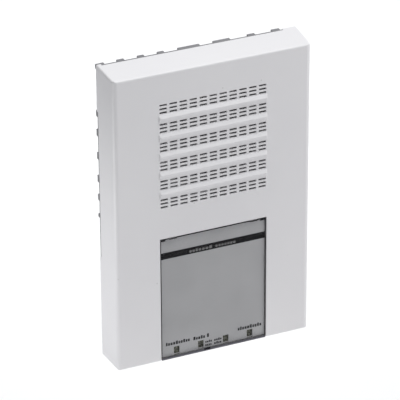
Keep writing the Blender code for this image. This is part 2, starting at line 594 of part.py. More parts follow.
def make_board_parts(mats):
    core = on_board("transformer_core", *CORE, mats["steel"])
    window_x, window_z = CORE_WINDOW
    depth = (BOARD_FRONT_Y - SEAT - COIL[2], BOARD_FRONT_Y + EPS)
    combine(core, blocks((window_x, depth, window_z)), "DIFFERENCE", "window")
    on_board("transformer_coil", *COIL, mats["amber"])
    make_terminals("mains_terminals", *MAINS_TERMINALS, mats["green"])
    make_terminals("loop_terminals", *LOOP_TERMINALS, mats["green"])
    on_board("relay", *RELAY, mats["blue"])
    on_board("controller_chip", *CHIP, mats["black"])
    for number, (x, z, radius) in enumerate(CAPACITORS, 1):
        top = BOARD_FRONT_Y - SEAT - CAPACITOR_HEIGHT
        rod_object("capacitor_%d" % number, radius, (x, z), (top, BOARD_FRONT_Y - SEAT), mats["black"])
    fuse_axis = (BOARD_FRONT_Y - FUSE_LIFT, FUSE_Z)
    rod_object("fuse", FUSE_R, fuse_axis, FUSE_X, mats["glass"], "X")
    clip_z = (FUSE_Z - FUSE_CLIP_HALF, FUSE_Z + FUSE_CLIP_HALF)
    for side, x in FUSE_CLIP_X:
        clip = on_board("fuse_clip_" + side, x, clip_z, FUSE_CLIP_HEIGHT, 0.0, mats["brass"])
        bore = bmesh.new()
        add_rod(bore, FUSE_R + 0.2, fuse_axis, (x[0] - EPS, x[1] + EPS), "X")
        combine(clip, bore, "DIFFERENCE", "bore")
    on_board("siren_plug", *SIREN_PLUG, mats["ivory"])
    on_board("battery_plug", *BATTERY_PLUG, mats["ivory"])


def make_siren(mats):
    flange_back = SIREN_FLANGE_Y + SIREN_FLANGE_T
    plate = blocks(((-SIREN_HALF_W, SIREN_HALF_W), (SIREN_FLANGE_Y, flange_back),
                    (SIREN_Z - SIREN_HALF_H, SIREN_Z + SIREN_HALF_H)))
    corners = [e for e in plate.edges if abs(e.verts[0].co.y - e.verts[1].co.y) > MM]
    bmesh.ops.bevel(plate, geom=corners, offset=3.0 * MM, segments=2, profile=0.5,
                    affect="EDGES", material=-1)
    frame = make_object("siren_frame", plate, mats["frame"])
    openings = bmesh.new()
    add_rod(openings, THROAT_R + 1.0, (0.0, SIREN_Z), (SIREN_FLANGE_Y - EPS, flange_back + EPS),
            sides=32)
    for x in (-SIREN_SCREW[0], SIREN_SCREW[0]):
        for z in (SIREN_Z - SIREN_SCREW[1], SIREN_Z + SIREN_SCREW[1]):
            add_rod(openings, 1.6, (x, z), (SIREN_FLANGE_Y - EPS, flange_back + EPS), sides=12)
    combine(frame, openings, "DIFFERENCE", "openings")
    cup = bmesh.new()
    add_turned(cup, [(THROAT_R, SIREN_FLANGE_Y + 0.2), (THROAT_R + 2.0, SIREN_FLANGE_Y + 0.2),
                     (THROAT_R + 2.0, flange_back + 1.0), (17.0, CUP_BACK_Y - 1.0), (17.0, CUP_BACK_Y),
                     (7.0, CUP_BACK_Y), (7.0, CUP_BACK_Y - CUP_BACK_T),
                     (15.6, CUP_BACK_Y - CUP_BACK_T), (THROAT_R, flange_back + 0.6)],
               (0.0, SIREN_Z), sides=32, closed=True)
    combine(frame, cup, "UNION", "cup")

    gasket = make_object("siren_gasket", blocks(((-36.4, 36.4), (FACE_BACK_Y + 0.5, SIREN_FLANGE_Y - GAP),
                                                 (SIREN_Z - 40.5, SIREN_Z + 42.0))), mats["foam"])
    hole = bmesh.new()
    add_rod(hole, 35.5, (0.0, SIREN_Z), (FACE_BACK_Y, SIREN_FLANGE_Y), sides=32)
    combine(gasket, hole, "DIFFERENCE", "hole")

    cone = bmesh.new()
    add_turned(cone, [(30.4, -20.2), (28.6, -20.7), (26.8, -20.0), (9.4, -15.0), (9.4, -14.4),
                      (26.6, -19.3), (28.6, -20.1), (30.4, -19.6)],
               (0.0, SIREN_Z), sides=32, closed=True)
    make_object("siren_cone", cone, mats["cone"], smooth=True)
    cap = bmesh.new()
    add_turned(cap, [(0.0, -18.6), (4.0, -18.2), (7.2, -17.1), (9.0, -15.4), (8.4, -14.9), (0.0, -14.9)],
               (0.0, SIREN_Z), sides=24)
    make_object("siren_dust_cap", cap, mats["cap"], smooth=True)
    magnet = bmesh.new()
    front = CUP_BACK_Y + GAP
    add_turned(magnet, [(0.0, front - 3.3), (5.6, front - 3.3), (5.6, front), (15.0, front),
                        (15.5, front + 0.5), (15.5, MAGNET_BACK_Y - 0.5), (15.0, MAGNET_BACK_Y),
                        (0.0, MAGNET_BACK_Y)], (0.0, SIREN_Z), sides=24)
    make_object("siren_magnet", magnet, mats["steel"], smooth=True)


def make_battery(mats):
    block_object("battery_block", BATTERY_X, (BATTERY_FRONT_Y, BASE_FRONT_Y - GAP), BATTERY_Z,
                 mats["shrink"], bevel=1.2)
    pad_x, pad_z = BATTERY_PAD
    block_object("battery_pad", pad_x, (FACE_BACK_Y + GAP, BATTERY_FRONT_Y - GAP), pad_z, mats["foam"])
    block_object("battery_clip", *BATTERY_CLIP, mats["black"], 0.6)


def make_grommet(mat):
    groove = CABLE_R - 0.3
    front = BASE_FRONT_Y - 0.2
    profile = [(GROMMET_BORE_R, front - 1.6), (CABLE_R + 1.6, front - 1.6), (CABLE_R + 1.6, front),
               (groove, front), (groove, RIM_Y + 0.2), (CABLE_R + 1.2, RIM_Y + 0.2),
               (CABLE_R + 0.6, RIM_Y + 1.4), (GROMMET_BORE_R, RIM_Y + 1.4)]
    bm = bmesh.new()
    add_turned(bm, profile, (CABLE_X, CABLE_Z), sides=24, closed=True)
    make_object("cable_grommet", bm, mat, smooth=True)


def smooth_route(points, per_span=4):
    """Catmull-Rom points through the route's own points."""
    pts = [Vector(p) for p in points]
    pts = [2 * pts[0] - pts[1]] + pts + [2 * pts[-1] - pts[-2]]
    out = []
    for a, b, c, d in zip(pts, pts[1:], pts[2:], pts[3:]):
        for step in range(per_span):
            t = step / per_span
            out.append(0.5 * (2 * b + (c - a) * t + (2 * a - 5 * b + 4 * c - d) * t ** 2
                              + (3 * b - a - 3 * c + d) * t ** 3))
    out.append(pts[-2])
    return out


def make_lead(name, points, mat):
    curve = bpy.data.curves.new(name, "CURVE")
    curve.dimensions = "3D"
    curve.bevel_depth = LEAD_R * MM
    curve.bevel_resolution = 2
    curve.use_fill_caps = True
    route = smooth_route(points)
    spline = curve.splines.new("POLY")
    spline.points.add(len(route) - 1)
    for point, place in zip(spline.points, route):
        point.co = (*(place * MM), 1.0)
    curve.materials.append(mat)
    obj = bpy.data.objects.new(name, curve)
    bpy.context.scene.collection.objects.link(obj)


def main():
    for obj in list(bpy.data.objects):
        bpy.data.objects.remove(obj, do_unlink=True)
    steel = material("zinc_steel", (0.55, 0.56, 0.58), 0.35, 1.0)
    black = material("black_plastic", (0.03, 0.03, 0.035), 0.45)
    foam = material("grey_foam", (0.30, 0.30, 0.30), 0.9)
    make_front_cover(material("white_abs", (0.82, 0.82, 0.83), 0.45))
    make_rear_base(material("grey_abs", (0.28, 0.28, 0.29), 0.5))
    make_flap(material("smoked_clear", (0.20, 0.20, 0.21), 0.12, alpha=0.5),
              material("label_paper", (0.72, 0.73, 0.74), 0.7),
              material("pale_abs", (0.75, 0.75, 0.76), 0.5))
    make_hinge_pins(steel)
    make_indicators(material("pipe_clear", (0.20, 0.21, 0.18), 0.2),
                    material("lamp_epoxy", (0.75, 0.15, 0.10), 0.2))
    make_buttons((material("test_cap", (0.12, 0.25, 0.55), 0.4),
                  material("silence_cap", (0.60, 0.10, 0.08), 0.4)), black)
    make_screws(steel)
    make_board(material("board_green", (0.03, 0.22, 0.10), 0.5))
    make_board_parts({
        "steel": steel, "black": black,
        "amber": material("coil_tape", (0.55, 0.38, 0.06), 0.5),
        "green": material("terminal_green", (0.05, 0.35, 0.12), 0.45),
        "blue": material("relay_blue", (0.05, 0.12, 0.40), 0.4),
        "glass": material("fuse_glass", (0.75, 0.78, 0.78), 0.1),
        "brass": material("clip_brass", (0.65, 0.50, 0.22), 0.35, 1.0),
        "ivory": material("plug_ivory", (0.75, 0.72, 0.62), 0.5)})
    make_siren({"frame": material("siren_white", (0.70, 0.70, 0.68), 0.5), "foam": foam,
                "cone": material("cone_grey", (0.06, 0.06, 0.065), 0.8),
                "cap": material("cap_grey", (0.10, 0.10, 0.10), 0.6), "steel": steel})
    make_battery({"shrink": material("battery_shrink", (0.08, 0.20, 0.45), 0.35),
                  "foam": foam, "black": black})
    make_grommet(material("black_rubber", (0.02, 0.02, 0.02), 0.8))
    make_lead("siren_lead", SIREN_LEAD, material("lead_red", (0.55, 0.04, 0.03), 0.5))
    make_lead("battery_lead", BATTERY_LEAD, material("lead_black", (0.03, 0.03, 0.03), 0.5))


main()
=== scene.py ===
"""The alarm siren's visible pieces, materials, light and camera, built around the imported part."""
import json
import math

import bmesh
import bpy
from mathutils import Matrix, Vector


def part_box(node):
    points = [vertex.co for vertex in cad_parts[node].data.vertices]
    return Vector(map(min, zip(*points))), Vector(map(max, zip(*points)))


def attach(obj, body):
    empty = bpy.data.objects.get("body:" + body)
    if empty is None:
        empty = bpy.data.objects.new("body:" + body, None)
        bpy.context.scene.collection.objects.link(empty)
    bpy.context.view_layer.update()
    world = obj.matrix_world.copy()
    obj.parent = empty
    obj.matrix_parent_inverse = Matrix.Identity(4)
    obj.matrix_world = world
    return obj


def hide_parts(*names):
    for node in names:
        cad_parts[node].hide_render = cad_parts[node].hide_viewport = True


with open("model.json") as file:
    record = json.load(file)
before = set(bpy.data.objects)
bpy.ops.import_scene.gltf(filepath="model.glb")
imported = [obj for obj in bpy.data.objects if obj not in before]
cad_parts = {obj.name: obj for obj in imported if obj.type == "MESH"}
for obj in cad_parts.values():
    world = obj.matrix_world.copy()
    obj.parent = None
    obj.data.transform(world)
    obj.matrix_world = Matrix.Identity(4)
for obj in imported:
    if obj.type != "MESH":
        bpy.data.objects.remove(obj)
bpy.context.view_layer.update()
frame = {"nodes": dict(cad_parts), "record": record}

MM = 0.001
EPS = 0.5 * MM                 # how far a cutter runs past the faces that it opens
GAP = 0.3 * MM
BODY_OF = {n: b for b, names in frame["record"]["behaviour"]["bodies"].items() for n in names}
SLOT_OF = {s["node"]: s["material_slot"] for s in frame["record"]["subparts"]}

# The cover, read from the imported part
COVER_LOW, COVER_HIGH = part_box("front_cover")
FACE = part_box("flap_window")[0].y  # the front face's plane, level with the flap
RIM = COVER_HIGH.y             # the rim's plane, towards the wall
HALF_W = COVER_HIGH.x
HALF_H = COVER_HIGH.z
DRAFT = 1.0 * MM               # each side leans in by this much from rim to face
SLOPE = DRAFT / (RIM - FACE)
SIDE_EDGE_R = 3.0 * MM         # the face's left and right edges
TOP_EDGE_R = 1.3 * MM          # the face's top and bottom edges
CORNER_R = 1.2 * MM            # the edges that run back to the rim
WALL = 2.2 * MM
FACE_WALL = 2.5 * MM
FACE_BACK = FACE + FACE_WALL
RELIEF_DEPTH = 1.8 * MM        # the rim is cut back where the base's flanges reach under it
RELIEF_REACH = 3.8 * MM
TOP_RELIEF = (-61.9 * MM, 55.6 * MM)
SIDE_RELIEF = (-30.0 * MM, 69.4 * MM)
BOSS_R = 3.2 * MM
PILOT_R = 1.5 * MM
PILOT_SKIN = 0.9 * MM          # the pilots' depth past the face's back

# The grille: bands of slots with a raised bar between each band and the next
BANDS = 6
ROWS = 3
COLUMNS = 11
BAND_PITCH = 12.75 * MM
FIRST_ROW_Z = 77.6 * MM
SLOT_W = 4.8 * MM
SLOT_H = 1.3 * MM
SLOT_R = 0.4 * MM
SLOT_PITCH_X = 6.44 * MM
SLOT_PITCH_Z = 2.48 * MM
BAR_TOP = 71.6 * MM            # the first bar's upper side meets the face here,
BAR_CREST = 69.4 * MM          # stands proudest here
BAR_FOOT = 65.8 * MM           # and runs back into the face here
BAR_PROUD = FACE - COVER_LOW.y
BAR_HALF = 35.2 * MM
BAR_END = 0.6 * MM
BAR_ROOT = 0.6 * MM
THIN_WALL = 1.2 * MM
THIN_HALF = 35.7 * MM
THIN_Z = (6.5 * MM, 80.0 * MM)

# The flap and the pocket that it closes
FLAP_LOW, FLAP_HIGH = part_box("flap_window")
CARD_LOW, CARD_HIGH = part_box("label_card")
PIPE_BOXES = [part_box("light_pipe_%d" % n) for n in (1, 2, 3, 4)]
PIPE_HALF = 1.9 * MM
PIPE_TOP = -91.3 * MM
PIPE_BOTTOM = -96.7 * MM
PIN_LOW, PIN_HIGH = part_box("hinge_pin_right")
AXIS_Y = (PIN_LOW.y + PIN_HIGH.y) / 2
AXIS_Z = (PIN_LOW.z + PIN_HIGH.z) / 2
PIN_GROOVE_R = 0.58 * MM
PIN_BORE_R = 0.7 * MM
NOTCH_X = 26.7 * MM
NOTCH_HALF = 2.5 * MM
NOTCH_DEEP = 0.55 * MM
POCKET_HALF = 35.2 * MM
POCKET_TOP = -13.0 * MM
POCKET_FLOOR = FACE + 3.7 * MM
POCKET_FLOOR_T = 1.5 * MM
POCKET_WALL = 1.5 * MM
POCKET_BOTTOM = -97.5 * MM
POCKET_MOUTH = 0.25 * MM       # how far the mouth's edge is broken
FLOOR_HOLES = (("test_button", 3.5 * MM), ("silence_button", 3.5 * MM),
               ("cover_screw_left", 1.8 * MM), ("cover_screw_right", 1.8 * MM))
SHEET_T = 1.0 * MM             # the smoked sheet's thickness above its lip
LIP_SKIN = 0.4 * MM            # depth of the lip's tinted front skin
LIP_TOP = -97.3 * MM
FINGER_RECESS_X = (-6.5 * MM, -2.4 * MM)
FINGER_RECESS_Z = (-98.2 * MM, -96.9 * MM)
FINGER_RECESS_Y = FACE + 0.7 * MM


# ---------------------------------------------------------------- node groups

def group_socket(tree, name, kind, in_out, default=None):
    socket = tree.interface.new_socket(name=name, in_out=in_out, socket_type=kind)
    if default is not None:
        socket.default_value = default


def link_all(tree, *pairs):
    for out, into in pairs:
        tree.links.new(out, into)


def math_node(tree, operation, a, b=None, clamp=False):
    """A Math node whose inputs are sockets or plain numbers."""
    node = tree.nodes.new("ShaderNodeMath")
    node.operation = operation
    node.use_clamp = clamp
    for socket, value in zip(node.inputs, (a, b)):
        if value is None:
            continue
        if isinstance(value, (int, float)):
            socket.default_value = value
        else:
            tree.links.new(value, socket)
    return node.outputs[0]


def mix_color(tree, factor, first, second):
    """Mix from the socket first to the plain colour second."""
    node = tree.nodes.new("ShaderNodeMix")
    node.data_type = "RGBA"
    node.inputs["B"].default_value = second
    link_all(tree, (factor, node.inputs["Factor"]), (first, node.inputs["A"]))
    return node.outputs["Result"]


def noise_node(tree, vector, scale, detail=2.0, roughness=0.5):
    node = tree.nodes.new("ShaderNodeTexNoise")
    node.inputs["Detail"].default_value = detail
    node.inputs["Roughness"].default_value = roughness
    tree.links.new(vector, node.inputs["Vector"])
    if isinstance(scale, (int, float)):
        node.inputs["Scale"].default_value = scale
    else:
        tree.links.new(scale, node.inputs["Scale"])
    return node.outputs["Fac"]


def build_moulded_group():
    """Moulded plastic: spark-eroded grain, slow tone drift, specks of dust, glossier rubbed patches."""
    tree = bpy.data.node_groups.new("moulded_surface", "ShaderNodeTree")
    group_socket(tree, "Color", "NodeSocketColor", "INPUT", (0.8, 0.8, 0.8, 1.0))
    group_socket(tree, "Shade", "NodeSocketColor", "INPUT", (0.7, 0.7, 0.72, 1.0))
    group_socket(tree, "Grain", "NodeSocketFloat", "INPUT", 2500.0)
    group_socket(tree, "Drift", "NodeSocketFloat", "INPUT", 18.0)
    group_socket(tree, "Dust", "NodeSocketFloat", "INPUT", 0.3)
    group_socket(tree, "Roughness", "NodeSocketFloat", "INPUT", 0.45)
    group_socket(tree, "Color", "NodeSocketColor", "OUTPUT")
    group_socket(tree, "Roughness", "NodeSocketFloat", "OUTPUT")
    group_socket(tree, "Height", "NodeSocketFloat", "OUTPUT")
    put = tree.nodes.new("NodeGroupInput")
    out = tree.nodes.new("NodeGroupOutput")
    place = tree.nodes.new("ShaderNodeTexCoord").outputs["Object"]

    drift = noise_node(tree, place, put.outputs["Drift"], 3.0, 0.55)
    drift_range = tree.nodes.new("ShaderNodeMapRange")
    drift_range.inputs["From Min"].default_value = 0.32
    drift_range.inputs["From Max"].default_value = 0.68
    tone = tree.nodes.new("ShaderNodeMix")
    tone.data_type = "RGBA"
    link_all(tree, (drift, drift_range.inputs["Value"]),
             (drift_range.outputs["Result"], tone.inputs["Factor"]),
             (put.outputs["Color"], tone.inputs["A"]), (put.outputs["Shade"], tone.inputs["B"]))

    cells = tree.nodes.new("ShaderNodeTexVoronoi")
    cells.inputs["Scale"].default_value = 160.0
    cells.inputs["Randomness"].default_value = 1.0
    speck = tree.nodes.new("ShaderNodeMapRange")
    speck.inputs["From Min"].default_value = 0.05
    speck.inputs["From Max"].default_value = 0.09
    speck.inputs["To Min"].default_value = 1.0
    speck.inputs["To Max"].default_value = 0.0
    sparse = tree.nodes.new("ShaderNodeSeparateColor")
    link_all(tree, (place, cells.inputs["Vector"]), (cells.outputs["Distance"], speck.inputs["Value"]),
             (cells.outputs["Color"], sparse.inputs["Color"]))
    rare = math_node(tree, "GREATER_THAN", sparse.outputs["Red"], 0.93)
    dust = math_node(tree, "MULTIPLY", speck.outputs["Result"], rare)
    dust = math_node(tree, "MULTIPLY", dust, put.outputs["Dust"], clamp=True)
    dirty = mix_color(tree, dust, tone.outputs["Result"], (0.16, 0.14, 0.12, 1.0))
    tree.links.new(dirty, out.inputs["Color"])

    grain = noise_node(tree, place, put.outputs["Grain"], 2.0, 0.6)
    rub = noise_node(tree, place, 35.0, 4.0, 0.6)
    rub = math_node(tree, "MULTIPLY", math_node(tree, "SUBTRACT", rub, 0.5), 0.22)
    rough = math_node(tree, "ADD", put.outputs["Roughness"], rub)
    rough = math_node(tree, "ADD", rough, math_node(tree, "MULTIPLY", dust, 0.3), clamp=True)
    link_all(tree, (rough, out.inputs["Roughness"]), (grain, out.inputs["Height"]))
    return tree


def build_brushed_group():
    """Metal: fine scratches, plating drift and darker pits."""
    tree = bpy.data.node_groups.new("plated_metal", "ShaderNodeTree")
    group_socket(tree, "Color", "NodeSocketColor", "INPUT", (0.6, 0.6, 0.62, 1.0))
    group_socket(tree, "Roughness", "NodeSocketFloat", "INPUT", 0.3)
    group_socket(tree, "Color", "NodeSocketColor", "OUTPUT")
    group_socket(tree, "Roughness", "NodeSocketFloat", "OUTPUT")
    group_socket(tree, "Height", "NodeSocketFloat", "OUTPUT")
    put = tree.nodes.new("NodeGroupInput")
    out = tree.nodes.new("NodeGroupOutput")
    place = tree.nodes.new("ShaderNodeTexCoord").outputs["Object"]
    stretch = tree.nodes.new("ShaderNodeMapping")
    stretch.inputs["Scale"].default_value = (300.0, 4000.0, 4000.0)
    tree.links.new(place, stretch.inputs["Vector"])
    scratch = noise_node(tree, stretch.outputs["Vector"], 1.0, 3.0, 0.6)
    drift = noise_node(tree, place, 220.0, 3.0, 0.6)
    amount = math_node(tree, "MULTIPLY", drift, 0.45)
    stain = mix_color(tree, amount, put.outputs["Color"], (0.30, 0.29, 0.27, 1.0))
    rough = math_node(tree, "ADD", put.outputs["Roughness"], math_node(tree, "MULTIPLY", scratch, 0.2))
    link_all(tree, (stain, out.inputs["Color"]), (rough, out.inputs["Roughness"]),
             (scratch, out.inputs["Height"]))
    return tree


MOULDED = build_moulded_group()
PLATED = build_brushed_group()


# ---------------------------------------------------------------- materials

def new_material(name):
    mat = bpy.data.materials.new(name)
    mat.use_nodes = True
    return mat, mat.node_tree, mat.node_tree.nodes["Principled BSDF"]


def place_group(tree, group, values):
    node = tree.nodes.new("ShaderNodeGroup")
    node.node_tree = group
    for name, value in values.items():
        node.inputs[name].default_value = value
    return node


def add_bump(tree, shader, height, strength, distance):
    bump = tree.nodes.new("ShaderNodeBump")
    bump.inputs["Strength"].default_value = strength
    bump.inputs["Distance"].default_value = distance
    link_all(tree, (height, bump.inputs["Height"]), (bump.outputs["Normal"], shader.inputs["Normal"]))


def moulded(name, color, shade, roughness=0.45, grain=2500.0, depth=0.02 * MM, strength=0.5,
            drift=18.0, dust=0.3, coat=0.0, specular=0.5):
    """A moulded plastic; color and shade are the two ends of its slow tone drift."""
    mat, tree, shader = new_material(name)
    group = place_group(tree, MOULDED, {"Color": (*color, 1.0), "Shade": (*shade, 1.0), "Grain": grain,
                                        "Drift": drift, "Dust": dust, "Roughness": roughness})
    link_all(tree, (group.outputs["Color"], shader.inputs["Base Color"]),
             (group.outputs["Roughness"], shader.inputs["Roughness"]))
    add_bump(tree, shader, group.outputs["Height"], strength, depth)
    shader.inputs["Coat Weight"].default_value = coat
    shader.inputs["Specular IOR Level"].default_value = specular
    return mat


def plated(name, color, roughness):
    mat, tree, shader = new_material(name)
    group = place_group(tree, PLATED, {"Color": (*color, 1.0), "Roughness": roughness})
    link_all(tree, (group.outputs["Color"], shader.inputs["Base Color"]),
             (group.outputs["Roughness"], shader.inputs["Roughness"]))
    shader.inputs["Metallic"].default_value = 1.0
    add_bump(tree, shader, group.outputs["Height"], 0.3, 0.01 * MM)
    return mat


def smoked_clear():
    """The flap's smoked sheet: see-through from the front, near black through its edges and lip, with
    the finger recess's floor made opaque near black as painted shade.
    """
    mat, tree, shader = new_material("smoked_window")
    group = place_group(tree, MOULDED, {"Color": (0.020, 0.020, 0.024, 1.0),
                                        "Shade": (0.030, 0.029, 0.036, 1.0), "Grain": 900.0,
                                        "Drift": 30.0, "Dust": 0.4, "Roughness": 0.16})
    coordinates = tree.nodes.new("ShaderNodeTexCoord")
    haze = noise_node(tree, coordinates.outputs["Object"], 45.0, 3.0, 0.55)
    clear = math_node(tree, "ADD", math_node(tree, "MULTIPLY", haze, 0.03), 0.115)
    facing = tree.nodes.new("ShaderNodeSeparateXYZ")
    tree.links.new(coordinates.outputs["Normal"], facing.inputs["Vector"])
    across = math_node(tree, "ABSOLUTE", facing.outputs["Y"])
    edge = tree.nodes.new("ShaderNodeMapRange")
    edge.inputs["From Min"].default_value = 0.95
    edge.inputs["From Max"].default_value = 0.75
    place = tree.nodes.new("ShaderNodeSeparateXYZ")
    tree.links.new(coordinates.outputs["Object"], place.inputs["Vector"])
    lip = tree.nodes.new("ShaderNodeMapRange")
    lip.inputs["From Min"].default_value = LIP_TOP + 0.1 * MM
    lip.inputs["From Max"].default_value = LIP_TOP - 0.1 * MM
    lip.inputs["To Max"].default_value = 0.85
    link_all(tree, (across, edge.inputs["Value"]), (place.outputs["Z"], lip.inputs["Value"]))
    solid = math_node(tree, "MAXIMUM", edge.outputs["Result"], lip.outputs["Result"])
    depth = place.outputs["Y"]
    behind_skin = math_node(tree, "GREATER_THAN", depth, FACE + LIP_SKIN)
    in_skin = math_node(tree, "LESS_THAN", depth, FACE + LIP_SKIN)
    tinted = mix_color(tree, math_node(tree, "MULTIPLY", lip.outputs["Result"], in_skin),
                       group.outputs["Color"], (0.155, 0.150, 0.180, 1.0))
    # Painted shade: the finger recess's floor and inner walls are made opaque near black to stand in
    # for the deep shadow inside the recess.
    above_floor = math_node(tree, "LESS_THAN", depth, FINGER_RECESS_Y + 0.1 * MM)
    recess_painted_shade = math_node(tree, "MULTIPLY", behind_skin, above_floor)
    alpha = math_node(tree, "MAXIMUM", math_node(tree, "MAXIMUM", solid, clear), recess_painted_shade)
    inside = math_node(tree, "GREATER_THAN", depth, FACE + SHEET_T - 0.1 * MM)
    below_top = math_node(tree, "LESS_THAN", place.outputs["Z"], LIP_TOP + 0.05 * MM)
    finished = mix_color(tree, math_node(tree, "MULTIPLY", inside, below_top), tinted,
                         (0.27, 0.275, 0.28, 1.0))
    link_all(tree, (finished, shader.inputs["Base Color"]),
             (group.outputs["Roughness"], shader.inputs["Roughness"]), (alpha, shader.inputs["Alpha"]))
    shader.inputs["IOR"].default_value = 1.49
    shader.inputs["Specular IOR Level"].default_value = 0.3
    add_bump(tree, shader, group.outputs["Height"], 0.12, 0.01 * MM)
    return mat


def light_pipe_material():
    """Clear acrylic seen end on with no light in it, painted dark olive as painted shade for the dark
    inside seen through it, with paler cloudy spots.
    """
    mat, tree, shader = new_material("light_pipe")
    place = tree.nodes.new("ShaderNodeTexCoord").outputs["Object"]
    cloud = noise_node(tree, place, 900.0, 2.0, 0.6)
    ramp = tree.nodes.new("ShaderNodeValToRGB")
    # Painted shade: the ramp's dark olive end stands in for the shaded inside seen through the clear
    # pipe.
    ramp.color_ramp.elements[0].position = 0.38
    ramp.color_ramp.elements[0].color = (0.065, 0.067, 0.050, 1.0)
    ramp.color_ramp.elements[1].position = 0.72
    ramp.color_ramp.elements[1].color = (0.36, 0.37, 0.28, 1.0)
    rough = math_node(tree, "ADD", math_node(tree, "MULTIPLY", cloud, 0.2), 0.12)
    link_all(tree, (cloud, ramp.inputs["Fac"]), (ramp.outputs["Color"], shader.inputs["Base Color"]),
             (rough, shader.inputs["Roughness"]))
    shader.inputs["Coat Weight"].default_value = 0.3
    return mat


def board_material():
    """Green solder mask with fine straight tracks and the weave of the glass cloth beneath."""
    mat, tree, shader = new_material("circuit_board")
    place = tree.nodes.new("ShaderNodeTexCoord").outputs["Object"]
    brick = tree.nodes.new("ShaderNodeTexBrick")
    brick.inputs["Scale"].default_value = 90.0
    brick.inputs["Mortar Size"].default_value = 0.035
    brick.inputs["Color1"].default_value = (0.010, 0.115, 0.045, 1.0)
    brick.inputs["Color2"].default_value = (0.016, 0.150, 0.060, 1.0)
    brick.inputs["Mortar"].default_value = (0.045, 0.250, 0.090, 1.0)
    flat = tree.nodes.new("ShaderNodeMapping")
    flat.inputs["Rotation"].default_value = (math.pi / 2, 0.0, 0.0)
    weave = noise_node(tree, place, 1400.0, 1.0)
    rough = math_node(tree, "ADD", math_node(tree, "MULTIPLY", weave, 0.2), 0.25)
    link_all(tree, (place, flat.inputs["Vector"]), (flat.outputs["Vector"], brick.inputs["Vector"]),
             (brick.outputs["Color"], shader.inputs["Base Color"]), (rough, shader.inputs["Roughness"]))
    add_bump(tree, shader, brick.outputs["Fac"], 0.3, 0.03 * MM)
    return mat


def foam_material():
    mat, tree, shader = new_material("foam")
    place = tree.nodes.new("ShaderNodeTexCoord").outputs["Object"]
    cells = tree.nodes.new("ShaderNodeTexVoronoi")
    cells.inputs["Scale"].default_value = 1500.0
    ramp = tree.nodes.new("ShaderNodeValToRGB")
    ramp.color_ramp.elements[0].color = (0.030, 0.030, 0.032, 1.0)
    ramp.color_ramp.elements[1].color = (0.110, 0.110, 0.115, 1.0)
    link_all(tree, (place, cells.inputs["Vector"]), (cells.outputs["Distance"], ramp.inputs["Fac"]),
             (ramp.outputs["Color"], shader.inputs["Base Color"]))
    pitted = math_node(tree, "MULTIPLY", cells.outputs["Distance"], 0.1)
    rough = math_node(tree, "SUBTRACT", 0.95, pitted)
    tree.links.new(rough, shader.inputs["Roughness"])
    add_bump(tree, shader, cells.outputs["Distance"], 0.8, 0.3 * MM)
    return mat


def glass_tube_material():
    mat, tree, shader = new_material("fuse_glass")
    group = place_group(tree, MOULDED, {"Color": (0.75, 0.80, 0.80, 1.0),
                                        "Shade": (0.65, 0.70, 0.70, 1.0), "Grain": 300.0,
                                        "Drift": 60.0, "Dust": 0.2, "Roughness": 0.06})
    link_all(tree, (group.outputs["Color"], shader.inputs["Base Color"]),
             (group.outputs["Roughness"], shader.inputs["Roughness"]))
    shader.inputs["Alpha"].default_value = 0.45
    shader.inputs["IOR"].default_value = 1.5
    return mat


MATERIALS = {
    "white_plastic": moulded("white_plastic", (0.805, 0.80, 0.815), (0.755, 0.75, 0.77), 0.42,
                             drift=9.0),
    "grey_plastic": moulded("grey_plastic", (0.235, 0.235, 0.245), (0.195, 0.195, 0.205), 0.50,
                            1800.0),
    "pale_plastic": moulded("pale_plastic", (0.70, 0.70, 0.69), (0.63, 0.63, 0.62), 0.5),
    "label_card": moulded("label_card", (0.69, 0.695, 0.71), (0.63, 0.635, 0.65), 0.6, 1200.0,
                          strength=0.2, dust=0.1, drift=22.0),
    "blue_plastic": moulded("blue_plastic", (0.050, 0.13, 0.42), (0.035, 0.10, 0.36), 0.38),
    "red_plastic": moulded("red_plastic", (0.52, 0.050, 0.040), (0.42, 0.035, 0.030), 0.38),
    "black_plastic": moulded("black_plastic", (0.022, 0.022, 0.025), (0.035, 0.035, 0.038), 0.42),
    "green_plastic": moulded("green_plastic", (0.035, 0.30, 0.095), (0.025, 0.23, 0.075), 0.42),
    "ivory_plastic": moulded("ivory_plastic", (0.72, 0.68, 0.56), (0.64, 0.60, 0.48), 0.45),
    "coil_tape": moulded("coil_tape", (0.55, 0.36, 0.05), (0.42, 0.26, 0.03), 0.30, 700.0, coat=0.3),
    "battery_wrap": moulded("battery_wrap", (0.045, 0.16, 0.42), (0.030, 0.11, 0.34), 0.22, 500.0,
                            depth=0.05 * MM, coat=0.4),
    "cone": moulded("cone", (0.045, 0.045, 0.048), (0.028, 0.028, 0.030), 0.75, 900.0,
                    strength=0.8),
    "rubber": moulded("rubber", (0.018, 0.018, 0.018), (0.030, 0.030, 0.030), 0.72, 1500.0),
    "red_wire": moulded("red_wire", (0.55, 0.03, 0.025), (0.45, 0.02, 0.02), 0.35),
    "black_wire": moulded("black_wire", (0.02, 0.02, 0.02), (0.035, 0.035, 0.035), 0.38),
    "lamp": moulded("lamp", (0.62, 0.10, 0.07), (0.50, 0.07, 0.05), 0.15, coat=0.5),
    "ink_black": moulded("ink_black", (0.004, 0.004, 0.0045), (0.008, 0.008, 0.009), 0.5, dust=0.1,
                         specular=0.2),
    "ink_grey": moulded("ink_grey", (0.030, 0.030, 0.032), (0.060, 0.060, 0.064), 0.5,
                        dust=0.0, drift=300.0, specular=0.2),
    "ink_pale": moulded("ink_pale", (0.30, 0.30, 0.30), (0.20, 0.20, 0.20), 0.5, dust=0.0,
                        drift=300.0),
    "steel": plated("steel", (0.62, 0.62, 0.64), 0.25),
    "brass": plated("brass", (0.70, 0.52, 0.24), 0.25),
    "smoked_window": smoked_clear(),
    "light_pipe": light_pipe_material(),
    "circuit_board": board_material(),
    "foam": foam_material(),
    "fuse_glass": glass_tube_material(),
}


# ---------------------------------------------------------------- mesh helpers

